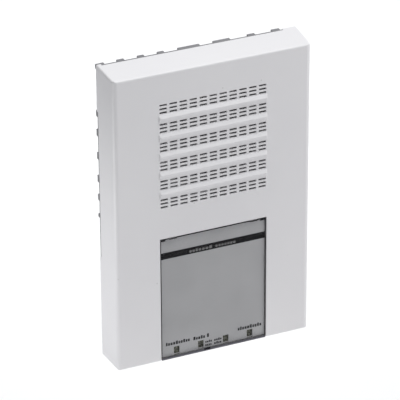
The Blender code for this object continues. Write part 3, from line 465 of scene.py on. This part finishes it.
def add_block(bm, x, y, z):
    """Add a box between two corners given as ranges."""
    size = Vector((x[1] - x[0], y[1] - y[0], z[1] - z[0]))
    centre = Vector((x[0] + x[1], y[0] + y[1], z[0] + z[1])) / 2
    return bmesh.ops.create_cube(
        bm, size=1.0, matrix=Matrix.Translation(centre) @ Matrix.Diagonal((*size, 1.0)))["verts"]


def blocks(*ranges):
    bm = bmesh.new()
    for x, y, z in ranges:
        add_block(bm, x, y, z)
    return bm


def add_rod(bm, radius, centre, span, axis="Y", sides=32):
    """Add a closed rod; span is its range along the axis, centre the other two places."""
    middle = (span[0] + span[1]) / 2
    if axis == "Y":
        place = Matrix.Translation((centre[0], middle, centre[1]))
        turn = Matrix.Rotation(math.pi / 2, 4, "X")
    else:
        place = Matrix.Translation((middle, centre[0], centre[1]))
        turn = Matrix.Rotation(math.pi / 2, 4, "Y")
    bmesh.ops.create_cone(bm, cap_ends=True, segments=sides, radius1=radius, radius2=radius,
                          depth=span[1] - span[0], matrix=place @ turn)


def add_turned(bm, profile, centre, sides=48, closed=False):
    """Turn (radius, y) points about the Y axis through centre = (x, z)."""
    x, z = centre
    verts = [bm.verts.new((x + r, y, z)) for r, y in profile]
    pairs = list(zip(verts, verts[1:]))
    if closed:
        pairs.append((verts[-1], verts[0]))
    edges = [bm.edges.new(pair) for pair in pairs]
    bmesh.ops.spin(bm, geom=verts + edges, cent=(x, 0, z), axis=(0, 1, 0), angle=2 * math.pi,
                   steps=sides, use_merge=True)
    bmesh.ops.remove_doubles(bm, verts=bm.verts, dist=1e-7)
    bmesh.ops.recalc_face_normals(bm, faces=bm.faces)


def bevel_edges(bm, edges, width, segments=2):
    bmesh.ops.bevel(bm, geom=edges, offset=width, segments=segments, profile=0.5, affect="EDGES",
                    material=-1, clamp_overlap=True)


def sharp_edges(bm, angle=0.6):
    return [e for e in bm.edges if e.is_manifold and e.calc_face_angle(0.0) > angle]


def link_mesh(name, bm):
    bmesh.ops.recalc_face_normals(bm, faces=bm.faces)
    mesh = bpy.data.meshes.new(name)
    bm.to_mesh(mesh)
    bm.free()
    obj = bpy.data.objects.new(name, mesh)
    bpy.context.scene.collection.objects.link(obj)
    return obj


def shade(obj, angle=35.0, weighted=True):
    obj.data.shade_smooth()
    obj.data.set_sharp_from_angle(angle=math.radians(angle))
    if weighted:
        mod = obj.modifiers.new("even_normals", "WEIGHTED_NORMAL")
        mod.keep_sharp = True


def dress(obj, slot, body, nodes=(), angle=35.0, weighted=True):
    """Give a finished piece its shading, material and body, and hide the CAD nodes that it stands for.
    """
    shade(obj, angle, weighted)
    obj.data.materials.clear()
    obj.data.materials.append(MATERIALS[slot])
    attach(obj, body)
    if nodes:
        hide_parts(*nodes)
    return obj


def combine(obj, bm, operation):
    """Add or remove the shape in bm; bake_shape applies the whole stack afterwards."""
    tool = link_mesh(obj.name + "_tool", bm)
    mod = obj.modifiers.new("step", "BOOLEAN")
    mod.operation = operation
    mod.object = tool
    mod.solver = "EXACT"


def bake_shape(obj):
    """Apply the object's modifiers and remove their tools."""
    tools = [m.object for m in obj.modifiers if m.type == "BOOLEAN"]
    bpy.context.view_layer.update()
    graph = bpy.context.evaluated_depsgraph_get()
    mesh = bpy.data.meshes.new_from_object(obj.evaluated_get(graph))
    obj.modifiers.clear()
    obj.data = mesh
    mesh.name = obj.name
    for tool in tools:
        bpy.data.objects.remove(tool, do_unlink=True)


# ---------------------------------------------------------------- front cover

def drafted_box(half_w, half_h, rim, face):
    """A box that leans in towards its face."""
    bm = blocks(((-half_w, half_w), (face, rim), (-half_h, half_h)))
    lean = SLOPE * (rim - face)
    for v in bm.verts:
        if v.co.y < (rim + face) / 2:
            v.co.x -= math.copysign(lean, v.co.x)
            v.co.z -= math.copysign(lean, v.co.z)
    return bm


def round_cover_edges(obj):
    """Round the face's edges and the corners, each by its own radius."""
    mesh = obj.data
    weights = mesh.attributes.new("bevel_weight_edge", "FLOAT", "EDGE").data
    for edge, weight in zip(mesh.edges, weights):
        a, b = (mesh.vertices[i].co for i in edge.vertices)
        if max(a.y, b.y) < (RIM + FACE) / 2:
            upright = abs(a.z - b.z) > HALF_H
            weight.value = 1.0 if upright else TOP_EDGE_R / SIDE_EDGE_R
        elif min(a.y, b.y) < (RIM + FACE) / 2:
            weight.value = CORNER_R / SIDE_EDGE_R
    mod = obj.modifiers.new("rounded_edges", "BEVEL")
    mod.limit_method = "WEIGHT"
    mod.width = SIDE_EDGE_R
    mod.segments = 6


def flared_pocket():
    """The pocket's cutter, with a mouth that opens out to break the face's edge."""
    bm = blocks(((-POCKET_HALF, POCKET_HALF), (FACE + POCKET_MOUTH, POCKET_FLOOR),
                 (-HALF_H - 2 * EPS, POCKET_TOP)))
    mouth = min(bm.faces, key=lambda f: f.calc_center_median().y)
    moved = bmesh.ops.extrude_face_region(bm, geom=[mouth])["geom"]
    reach = POCKET_MOUTH + EPS
    for v in (g for g in moved if isinstance(g, bmesh.types.BMVert)):
        v.co.y -= reach
        v.co.x += math.copysign(reach, v.co.x)
        v.co.z += math.copysign(reach, v.co.z + HALF_H / 2)
    bmesh.ops.delete(bm, geom=[mouth], context="FACES_ONLY")
    return bm


def grille_bars():
    """The raised bars: a steep upper side, a long lower side and leaning ends, their crests rounded."""
    bm = bmesh.new()
    for band in range(BANDS - 1):
        drop = band * BAND_PITCH
        outline = ((FACE + BAR_ROOT, BAR_TOP, 0.0), (FACE, BAR_TOP, 0.0),
                   (FACE - BAR_PROUD, BAR_CREST, BAR_END), (FACE, BAR_FOOT, 0.0),
                   (FACE + BAR_ROOT, BAR_FOOT, 0.0))
        ends = [[bm.verts.new((side * (BAR_HALF - lean), y, z - drop)) for y, z, lean in outline]
                for side in (-1, 1)]
        for end in ends:
            bm.faces.new(end)
        for i, j in zip(range(len(outline)), (1, 2, 3, 4, 0)):
            bm.faces.new((ends[0][i], ends[0][j], ends[1][j], ends[1][i]))
    bmesh.ops.recalc_face_normals(bm, faces=bm.faces)
    bmesh.ops.connect_verts_nonplanar(bm, angle_limit=0.01, faces=bm.faces[:])
    crests = [e for e in bm.edges if e.calc_face_angle(0.0) > 0.05
              and any(v.co.y < FACE - 0.1 * MM for v in e.verts)]
    bevel_edges(bm, crests, 0.3 * MM, 3)
    return bm


def slot_mesh():
    """One slot's cutter about its own centre: a rounded slot whose mouth opens out."""
    bm = bmesh.new()
    bmesh.ops.create_circle(bm, cap_ends=True, segments=12, radius=SLOT_R,
                            matrix=Matrix.Rotation(math.radians(15), 4, "Z"))
    for v in bm.verts:
        v.co.x += math.copysign(SLOT_W / 2 - SLOT_R, v.co.x)
        v.co.y += math.copysign(SLOT_H / 2 - SLOT_R, v.co.y)
    break_edge = 0.13 * MM
    bmesh.ops.translate(bm, verts=bm.verts, vec=(0, 0, -4 * THIN_WALL))
    top = bm.faces[:]
    for rise, grow in ((4 * THIN_WALL - break_edge, 0.0), (break_edge + EPS, break_edge + EPS)):
        moved = bmesh.ops.extrude_face_region(bm, geom=top)["geom"]
        if grow:
            bmesh.ops.delete(bm, geom=top, context="FACES_ONLY")
        verts = [g for g in moved if isinstance(g, bmesh.types.BMVert)]
        top = [g for g in moved if isinstance(g, bmesh.types.BMFace)]
        bmesh.ops.translate(bm, verts=verts, vec=(0, 0, rise))
        bmesh.ops.scale(bm, verts=verts, vec=(1 + 2 * grow / SLOT_W, 1 + 2 * grow / SLOT_H, 1.0))
    bmesh.ops.recalc_face_normals(bm, faces=bm.faces)
    mesh = bpy.data.meshes.new("slot")
    bm.to_mesh(mesh)
    bm.free()
    return mesh


def slot_cutters():
    """All the sound slots."""
    bm = bmesh.new()
    pattern = slot_mesh()
    upright = Matrix.Rotation(math.pi / 2, 4, "X")
    for band in range(BANDS):
        for row in range(ROWS):
            z = FIRST_ROW_Z - band * BAND_PITCH - row * SLOT_PITCH_Z
            for column in range(COLUMNS):
                x = (column - (COLUMNS - 1) / 2) * SLOT_PITCH_X
                known = set(bm.verts)
                bm.from_mesh(pattern)
                fresh = [v for v in bm.verts if v not in known]
                bmesh.ops.transform(bm, verts=fresh, matrix=Matrix.Translation((x, FACE, z)) @ upright)
    bpy.data.meshes.remove(pattern)
    return bm


def make_cover():
    """The cover: one drafted shell with the grille, the flap's pocket, hinge bores and inner bosses."""
    cover = link_mesh("cover_shell", drafted_box(HALF_W, HALF_H, RIM, FACE))
    round_cover_edges(cover)
    overrun = SLOPE * EPS
    combine(cover, drafted_box(HALF_W - WALL + overrun, HALF_H - WALL + overrun, RIM + EPS, FACE_BACK),
            "DIFFERENCE")
    floor_back = POCKET_FLOOR + POCKET_FLOOR_T
    outer = POCKET_HALF + POCKET_WALL
    combine(cover, blocks(((-outer, outer), (FACE + 2 * EPS, floor_back),
                           (POCKET_BOTTOM, POCKET_TOP + POCKET_WALL))), "UNION")
    combine(cover, flared_pocket(), "DIFFERENCE")
    combine(cover, pin_rods(PIN_BORE_R, POCKET_HALF - EPS, PIN_HIGH.x + GAP), "DIFFERENCE")
    combine(cover, blocks(((-THIN_HALF, THIN_HALF), (FACE + THIN_WALL, FACE_BACK + EPS), THIN_Z)),
            "DIFFERENCE")
    combine(cover, grille_bars(), "UNION")
    combine(cover, slot_cutters(), "DIFFERENCE")
    openings = bmesh.new()
    floor = (POCKET_FLOOR - EPS, floor_back + EPS)
    for low, high in PIPE_BOXES:
        x = (low.x + high.x) / 2
        add_block(openings, (x - PIPE_HALF - GAP, x + PIPE_HALF + GAP), floor,
                  (PIPE_BOTTOM - 0.25 * MM, PIPE_TOP + GAP))
    for name, radius in FLOOR_HOLES:
        low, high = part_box(name)
        centre = (low + high) / 2
        add_rod(openings, radius, (centre.x, centre.z), floor, sides=40)
    combine(cover, openings, "DIFFERENCE")
    bosses = bmesh.new()
    pilots = bmesh.new()
    for number in (1, 2, 3, 4):
        low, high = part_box("siren_screw_%d" % number)
        centre = ((low.x + high.x) / 2, (low.z + high.z) / 2)
        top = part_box("siren_frame")[0].y - GAP
        add_rod(bosses, BOSS_R, centre, (FACE_BACK - 2 * EPS, top), sides=32)
        add_rod(pilots, PILOT_R, centre, (FACE_BACK - PILOT_SKIN, top + EPS), sides=24)
    combine(cover, bosses, "UNION")
    combine(cover, pilots, "DIFFERENCE")
    relief_y = (RIM - RELIEF_DEPTH, RIM + EPS)
    combine(cover, blocks((TOP_RELIEF, relief_y, (HALF_H - RELIEF_REACH, HALF_H + EPS)),
                          ((-HALF_W - EPS, -HALF_W + RELIEF_REACH), relief_y, SIDE_RELIEF),
                          ((HALF_W - RELIEF_REACH, HALF_W + EPS), relief_y, SIDE_RELIEF)),
            "DIFFERENCE")
    bake_shape(cover)
    return dress(cover, "white_plastic", "housing", ["front_cover"], angle=28.0)


# ---------------------------------------------------------------- flap

def pin_rods(radius, inner, outer):
    """A rod on the hinge axis at each side of the flap."""
    bm = bmesh.new()
    add_rod(bm, radius, (AXIS_Y, AXIS_Z), (-outer, -inner), "X", 24)
    add_rod(bm, radius, (AXIS_Y, AXIS_Z), (inner, outer), "X", 24)
    return bm


def make_flap_window():
    """The smoked sheet, with its rounded front edges, lower lip, finger recess and notches."""
    sheet_back = FLAP_LOW.y + SHEET_T
    bm = blocks(((FLAP_LOW.x, FLAP_HIGH.x), (FLAP_LOW.y, sheet_back), (FLAP_LOW.z, FLAP_HIGH.z)))
    front = [e for e in bm.edges if all(v.co.y < FLAP_LOW.y + 0.1 * MM for v in e.verts)]
    bevel_edges(bm, front, 0.16 * MM, 3)
    window = link_mesh("smoked_flap", bm)
    inset = 0.05 * MM
    lip = blocks(((FLAP_LOW.x + inset, FLAP_HIGH.x - inset), (FLAP_LOW.y + 0.6 * MM, FLAP_HIGH.y),
                  (FLAP_LOW.z + inset, LIP_TOP)))
    bevel_edges(lip, [e for e in lip.edges if all(v.co.y > sheet_back for v in e.verts)], 0.3 * MM, 2)
    combine(window, lip, "UNION")
    notches = blocks((FINGER_RECESS_X, (FLAP_LOW.y - EPS, FINGER_RECESS_Y), FINGER_RECESS_Z),
                     *[((x - NOTCH_HALF, x + NOTCH_HALF), (FLAP_LOW.y - EPS, sheet_back + EPS),
                        (FLAP_HIGH.z - NOTCH_DEEP, FLAP_HIGH.z + EPS)) for x in (-NOTCH_X, NOTCH_X)])
    combine(window, notches, "DIFFERENCE")
    combine(window, pin_rods(PIN_GROOVE_R, PIN_LOW.x - GAP, FLAP_HIGH.x + EPS), "DIFFERENCE")
    bake_shape(window)
    return dress(window, "smoked_window", "flap", ["flap_window"])


def softened(node, slot=None, width=0.2 * MM, segments=2, angle=0.6, name=None):
    """A copy of a CAD node with its sharp edges rounded as moulding or pressing leaves them."""
    bm = bmesh.new()
    bm.from_mesh(frame["nodes"][node].data)
    bmesh.ops.remove_doubles(bm, verts=bm.verts, dist=1e-6)
    bmesh.ops.dissolve_limit(bm, angle_limit=0.02, verts=bm.verts, edges=bm.edges)
    bevel_edges(bm, sharp_edges(bm, angle), width, segments)
    obj = link_mesh(name or node + "_finished", bm)
    return dress(obj, slot or SLOT_OF[node], BODY_OF[node], [node])


# ---------------------------------------------------------------- label printing

PRINT_T = 0.03 * MM
PRINT_LIFT = 0.005 * MM        # a print's back stands this far off the card
TITLE_BAND_Z = (-27.9 * MM, -23.4 * MM)
TITLE_Z = -26.0 * MM
TITLE_HEIGHT = 2.0 * MM
TITLE_LETTER = 2.3 * MM
TITLES = ((-15.7, 0.2, 2), (1.6, 16.6, 5))    # start and end in millimetres, seed
# Legends: start, end, z, height, letter width (all in millimetres) and seed
LEGENDS = ((-31.8, -15.2, -88.5, 2.4, 1.7, 1), (-13.4, -5.0, -88.7, 2.4, 1.7, 4),
           (-4.2, -2.4, -88.5, 2.6, 1.7, 3), (16.6, 32.6, -89.0, 2.5, 1.7, 6),
           (-5.4, -0.6, -92.9, 1.7, 1.3, 2), (0.6, 6.4, -92.9, 1.7, 1.3, 7),
           (-5.4, -0.6, -95.2, 1.7, 1.3, 5), (0.6, 6.4, -95.2, 1.7, 1.3, 8))


def add_mark(bm, x, z, half_w, half_h):
    """One printed mark on the card's front, slightly rounded at its corners."""
    front = CARD_LOW.y - PRINT_T - PRINT_LIFT
    verts = add_block(bm, (x - half_w, x + half_w), (front, front + PRINT_T), (z - half_h, z + half_h))
    edges = {e for v in verts for e in v.link_edges if abs(e.verts[0].co.y - e.verts[1].co.y) > 0}
    bevel_edges(bm, list(edges), min(half_w, half_h) * 0.4, 2)


def add_greeked_line(bm, start, end, z, height, letter, seed):
    """A line of plain blocks of letter size, which stands in for a legend and spells nothing."""
    x = start
    step = seed
    while x + letter * 0.6 < end:
        step = (step * 7 + 3) % 11
        wide = letter * (0.62 + 0.05 * (step % 5))
        tall = height if step in (2, 9, 10) else height * 0.78
        add_mark(bm, x + wide / 2, z + (tall - height) / 2, wide / 2, tall / 2)
        x += wide + letter * 0.24


def make_print():
    """The card's black title band, its pale marks and the small dark legends by the lights."""
    band = bmesh.new()
    add_block(band, (CARD_LOW.x + 0.05 * MM, CARD_HIGH.x - 0.05 * MM),
              (CARD_LOW.y - PRINT_T, CARD_LOW.y - PRINT_LIFT), TITLE_BAND_Z)
    bevel_edges(band, band.edges[:], 0.008 * MM, 1)
    band = link_mesh("title_band", band)
    dress(band, "ink_black", "flap", weighted=False)
    title = bmesh.new()
    for start, end, seed in TITLES:
        add_greeked_line(title, start * MM, end * MM, TITLE_Z, TITLE_HEIGHT, TITLE_LETTER, seed)
    bmesh.ops.translate(title, verts=title.verts, vec=(0, -0.02 * MM, 0))
    dress(link_mesh("title_marks", title), "ink_pale", "flap", weighted=False)
    legends = bmesh.new()
    for start, end, z, height, letter, seed in LEGENDS:
        add_greeked_line(legends, start * MM, end * MM, z * MM, height * MM, letter * MM, seed)
    dress(link_mesh("legend_marks", legends), "ink_grey", "flap", weighted=False)


# ---------------------------------------------------------------- turned pieces

def axis_place(node):
    low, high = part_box(node)
    return (low.x + high.x) / 2, (low.z + high.z) / 2


def turned_piece(name, node, profile, slot=None, sides=48, closed=False, edge=0.0, centre=None):
    bm = bmesh.new()
    add_turned(bm, profile, centre or axis_place(node), sides, closed)
    if edge:
        bevel_edges(bm, sharp_edges(bm), edge, 2)
    obj = link_mesh(name, bm)
    return dress(obj, slot or SLOT_OF[node], BODY_OF[node], [node])


def make_screw(node, front):
    """A pan-head screw with a cross recess and a threaded shank; front is +1 or -1 along Y."""
    low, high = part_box(node)
    x, z = axis_place(node)
    head_r = (high.x - low.x) / 2
    top, tip = (low.y, high.y) if front < 0 else (high.y, low.y)
    into = -front
    length = abs(tip - top)
    head_h = min(1.35 * MM, length * 0.26)
    seat = top + into * head_h
    shank_r = head_r * 0.42
    pitch = 0.55 * MM
    profile = [(0.0, top), (head_r * 0.55, top + into * head_h * 0.06),
               (head_r * 0.85, top + into * head_h * 0.28), (head_r, top + into * head_h * 0.65),
               (head_r, seat), (shank_r, seat)]
    y = seat + into * pitch
    while abs(tip - y) > 2.2 * pitch:
        profile += [(shank_r * 0.86, y), (shank_r, y + into * pitch / 2)]
        y += into * pitch
    profile += [(shank_r * 0.8, y), (0.0, tip)]
    bm = bmesh.new()
    add_turned(bm, profile, (x, z), 32)
    screw = link_mesh(node + "_threaded", bm)
    arm = head_r * 0.62
    slim = head_r * 0.14
    deep = sorted((top - into * EPS, top + into * head_h * 0.75))
    combine(screw, blocks(((x - arm, x + arm), deep, (z - slim, z + slim))), "DIFFERENCE")
    combine(screw, blocks(((x - slim, x + slim), deep, (z - arm, z + arm))), "DIFFERENCE")
    bake_shape(screw)
    return dress(screw, "steel", BODY_OF[node], [node])


def make_lamp(node):
    low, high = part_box(node)
    body_r = 1.5 * MM
    flange_r = (high.x - low.x) / 2
    tip = low.y
    dome = [(body_r * math.sin(math.radians(a)), tip + body_r * (1 - math.cos(math.radians(a))))
            for a in range(0, 91, 10)]
    profile = dome + [(body_r, high.y - 1.2 * MM), (flange_r, high.y - 1.2 * MM),
                      (flange_r, high.y), (0.0, high.y)]
    turned_piece(node + "_domed", node, profile, sides=36)


def make_button(node, slot):
    """A key with a dished, rounded head, its retaining flange and its stem."""
    low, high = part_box(node)
    head = low.y
    radius = 3.2 * MM
    flange_r = (high.x - low.x) / 2
    flange = POCKET_FLOOR + POCKET_FLOOR_T + GAP
    edge = 0.5 * MM
    corner = [(radius - edge + edge * math.sin(math.radians(a)),
               head + edge - edge * math.cos(math.radians(a))) for a in range(0, 91, 18)]
    profile = [(0.0, head + 0.25 * MM), (radius * 0.45, head + 0.18 * MM)] + corner + [
        (radius, flange), (flange_r, flange), (flange_r, flange + 1.0 * MM),
        (1.5 * MM, flange + 1.0 * MM), (1.5 * MM, high.y - 0.2 * MM), (1.3 * MM, high.y), (0.0, high.y)]
    turned_piece(node + "_dished", node, profile, slot=slot, sides=64)


# Profiles as (radius, y) in millimetres
CONE = ((30.4, -20.2), (29.6, -20.55), (28.6, -20.7), (27.6, -20.5), (26.8, -20.0), (18.0, -17.6),
        (9.4, -15.0), (9.4, -14.4), (18.0, -17.0), (26.6, -19.3), (27.6, -19.9), (28.6, -20.1),
        (29.6, -19.95), (30.4, -19.6))
DUST_CAP = ((0.0, -18.6), (2.0, -18.52), (4.0, -18.2), (5.8, -17.75), (7.2, -17.1), (8.3, -16.25),
            (9.0, -15.4), (8.4, -14.9), (0.0, -14.9))
MAGNET = ((0.0, -13.6), (5.3, -13.6), (5.6, -13.3), (5.6, -10.3), (14.6, -10.3), (15.3, -10.0),
          (15.5, -9.4), (15.5, -7.9), (15.2, -7.7), (15.2, -7.3), (15.5, -7.1), (15.5, -5.5),
          (15.2, -5.0), (14.6, -4.9), (0.0, -4.9))
CAN_STEP = 0.25 * MM           # the cans' rounding and crimp are built from steps of this size
GROMMET_GROOVE_R = 8.7 * MM
GROMMET_BORE_R = 6.0 * MM
GROMMET_EDGE = 0.3 * MM


def make_siren_and_grommet():
    """The driver's turned pieces, the two capacitors and the cable grommet, finely turned."""
    for name, node, profile, closed in (("driver_cone", "siren_cone", CONE, True),
                                        ("driver_dust_cap", "siren_dust_cap", DUST_CAP, False),
                                        ("driver_magnet", "siren_magnet", MAGNET, False)):
        turned_piece(name, node, [(r * MM, y * MM) for r, y in profile], sides=72, closed=closed)
    for node in ("capacitor_1", "capacitor_2"):
        low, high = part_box(node)
        r = (high.x - low.x) / 2
        step = CAN_STEP
        profile = [(0.0, low.y + step), (r * 0.82, low.y + step), (r * 0.86, low.y), (r - step, low.y),
                   (r, low.y + step), (r, high.y - 8 * step), (r - step, high.y - 7 * step),
                   (r - step, high.y - 6 * step), (r, high.y - 5 * step), (r, high.y), (0.0, high.y)]
        turned_piece(node + "_canned", node, profile, sides=48)
    low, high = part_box("cable_grommet")
    outer = (high.x - low.x) / 2
    groove = GROMMET_GROOVE_R
    bore = GROMMET_BORE_R
    edge = GROMMET_EDGE
    front = RIM - 2.2 * MM
    back = RIM + 0.2 * MM
    profile = [(bore, low.y + edge), (bore + edge, low.y), (outer - edge, low.y),
               (outer, low.y + edge), (outer, front), (groove, front), (groove, back),
               (outer - 0.4 * MM, back), (outer - 1.0 * MM, high.y), (bore, high.y)]
    turned_piece("moulded_grommet", "cable_grommet", profile, sides=64, closed=True)


# ---------------------------------------------------------------- the rest

def make_pieces():
    make_cover()
    make_flap_window()
    softened("label_card", width=0.02 * MM, segments=1)
    softened("flap_back", width=0.15 * MM)
    make_print()
    softened("rear_base", width=0.2 * MM)
    for side in ("left", "right"):
        softened("hinge_pin_" + side, width=0.08 * MM, angle=0.9)
        make_screw("cover_screw_" + side, -1)
        softened("fuse_clip_" + side, width=0.15 * MM, angle=0.9)
    for number in (1, 2, 3, 4):
        softened("light_pipe_%d" % number, width=0.15 * MM)
        make_lamp("lamp_%d" % number)
        make_screw("board_screw_%d" % number, -1)
        make_screw("siren_screw_%d" % number, 1)
    make_button("test_button", "blue_plastic")
    make_button("silence_button", "red_plastic")
    for node in ("test_switch", "silence_switch", "transformer_core", "transformer_coil",
                 "mains_terminals", "loop_terminals", "relay", "controller_chip", "siren_plug",
                 "battery_plug", "main_board", "siren_frame", "siren_gasket", "battery_block",
                 "battery_pad", "battery_clip", "fuse"):
        softened(node, width=0.12 * MM, angle=0.9)
    make_siren_and_grommet()


def paint_cad_nodes():
    """Every CAD node that still shows gets its finished material."""
    for node, obj in frame["nodes"].items():
        obj.data.materials.clear()
        obj.data.materials.append(MATERIALS[SLOT_OF[node]])


# ---------------------------------------------------------------- stage, light and camera

WORLD_LEVEL = 0.685
SCREEN_LEVEL = 0.06
SCREEN_TOWARD = (-1.0, -0.35, 0.35)   # direction in which the light is dimmed
SCREEN_EDGE = (0.2, 0.7)
KEY_POWER = 16.5
FLOOR_POWER = 10.0
FRONT_POWER = 0.24
SIDE_POWER = 0.235
RIGHT_POWER = 0.24
AZIMUTH = 23.27                # degrees to the left of straight on
ELEVATION = 28.95
ROLL = -0.307
DISTANCE = 1.8951
AIM_RIGHT = -0.00824
AIM_UP = 0.00588
LENS = 282.0


def make_stage():
    """A pale floor well below the siren, whose wall isn't shown."""
    bm = bmesh.new()
    bmesh.ops.create_grid(bm, x_segments=1, y_segments=1, size=6.0,
                          matrix=Matrix.Translation((0, 0, -0.75)))
    floor = link_mesh("studio_floor", bm)
    mat, tree, shader = new_material("studio_floor")
    place = tree.nodes.new("ShaderNodeTexCoord").outputs["Object"]
    cloud = noise_node(tree, place, 3.0, 2.0)
    rough = math_node(tree, "ADD", math_node(tree, "MULTIPLY", cloud, 0.05), 0.9)
    tree.links.new(rough, shader.inputs["Roughness"])
    shader.inputs["Base Color"].default_value = (0.93, 0.93, 0.93, 1.0)
    floor.data.materials.append(mat)


def add_area(name, place, target, size, energy, color):
    light = bpy.data.lights.new(name, "AREA")
    light.shape = "RECTANGLE"
    light.size = size[0]
    light.size_y = size[1]
    light.energy = energy
    light.color = color
    obj = bpy.data.objects.new(name, light)
    obj.location = place
    obj.rotation_euler = (Vector(target) - Vector(place)).to_track_quat("-Z", "Y").to_euler()
    bpy.context.scene.collection.objects.link(obj)


def make_world():
    """Even studio light all round, dimmer towards the left where a dark screen stands."""
    world = bpy.data.worlds.new("studio")
    world.use_nodes = True
    tree = world.node_tree
    background = tree.nodes["Background"]
    background.inputs["Color"].default_value = (0.955, 0.97, 1.0, 1.0)
    toward = tree.nodes.new("ShaderNodeVectorMath")
    toward.operation = "DOT_PRODUCT"
    toward.inputs[1].default_value = Vector(SCREEN_TOWARD).normalized()
    dim = tree.nodes.new("ShaderNodeMapRange")
    dim.inputs["From Min"].default_value = SCREEN_EDGE[0]
    dim.inputs["From Max"].default_value = SCREEN_EDGE[1]
    dim.inputs["To Min"].default_value = WORLD_LEVEL
    dim.inputs["To Max"].default_value = SCREEN_LEVEL
    link_all(tree, (tree.nodes.new("ShaderNodeTexCoord").outputs["Generated"], toward.inputs[0]),
             (toward.outputs["Value"], dim.inputs["Value"]),
             (dim.outputs["Result"], background.inputs["Strength"]))
    bpy.context.scene.world = world


def make_lights():
    make_world()
    for name, place, target, size, energy, color in (
            ("overhead_softbox", (0.25, -0.35, 1.5), (0, 0, 0), (0.9, 0.9), KEY_POWER,
             (1.0, 0.995, 0.98)),
            ("floor_lamp", (0.6, 1.5, 0.25), (0.6, 1.5, -0.75), (1.4, 1.4), FLOOR_POWER,
             (1.0, 1.0, 1.0)),
            ("front_reflector", (-0.02, -0.16, -0.34), (-0.02, FACE, -0.05), (0.25, 0.12), FRONT_POWER,
             (1.0, 0.965, 0.94)),
            ("side_reflector", (-0.25, -0.02, -0.06), (-HALF_W, -0.01, -0.05), (0.12, 0.12), SIDE_POWER,
             (1.0, 1.0, 1.0)),
            ("right_reflector", (0.35, -0.25, 0.0), (0.05, FACE, -0.01), (0.2, 0.2), RIGHT_POWER,
             (1.0, 0.965, 0.95))):
        add_area(name, place, target, size, energy, color)
    bpy.context.scene.view_settings.view_transform = "Standard"


def make_camera():
    """Above and to the left of the siren, a long lens from just under two metres."""
    azimuth = math.radians(AZIMUTH)
    elevation = math.radians(ELEVATION)
    roll = math.radians(ROLL)
    back = Vector((-math.sin(azimuth) * math.cos(elevation), -math.cos(azimuth) * math.cos(elevation),
                   math.sin(elevation)))
    level = Vector((math.cos(azimuth), -math.sin(azimuth), 0.0))
    upward = back.cross(level)
    right = level * math.cos(roll) + upward * math.sin(roll)
    up = upward * math.cos(roll) - level * math.sin(roll)
    aim = Vector((0.0, FACE, 0.0)) + right * AIM_RIGHT + up * AIM_UP
    cam = bpy.data.objects.new("camera", bpy.data.cameras.new("camera"))
    turn = Matrix((right, up, back)).transposed().to_4x4()
    cam.matrix_world = Matrix.Translation(aim + back * DISTANCE) @ turn
    cam.data.sensor_width = 36.0
    cam.data.lens = LENS
    cam.data.clip_start = 0.1
    cam.data.clip_end = 30.0
    bpy.context.scene.collection.objects.link(cam)
    bpy.context.scene.camera = cam


paint_cad_nodes()
make_pieces()
make_stage()
make_lights()
make_camera()
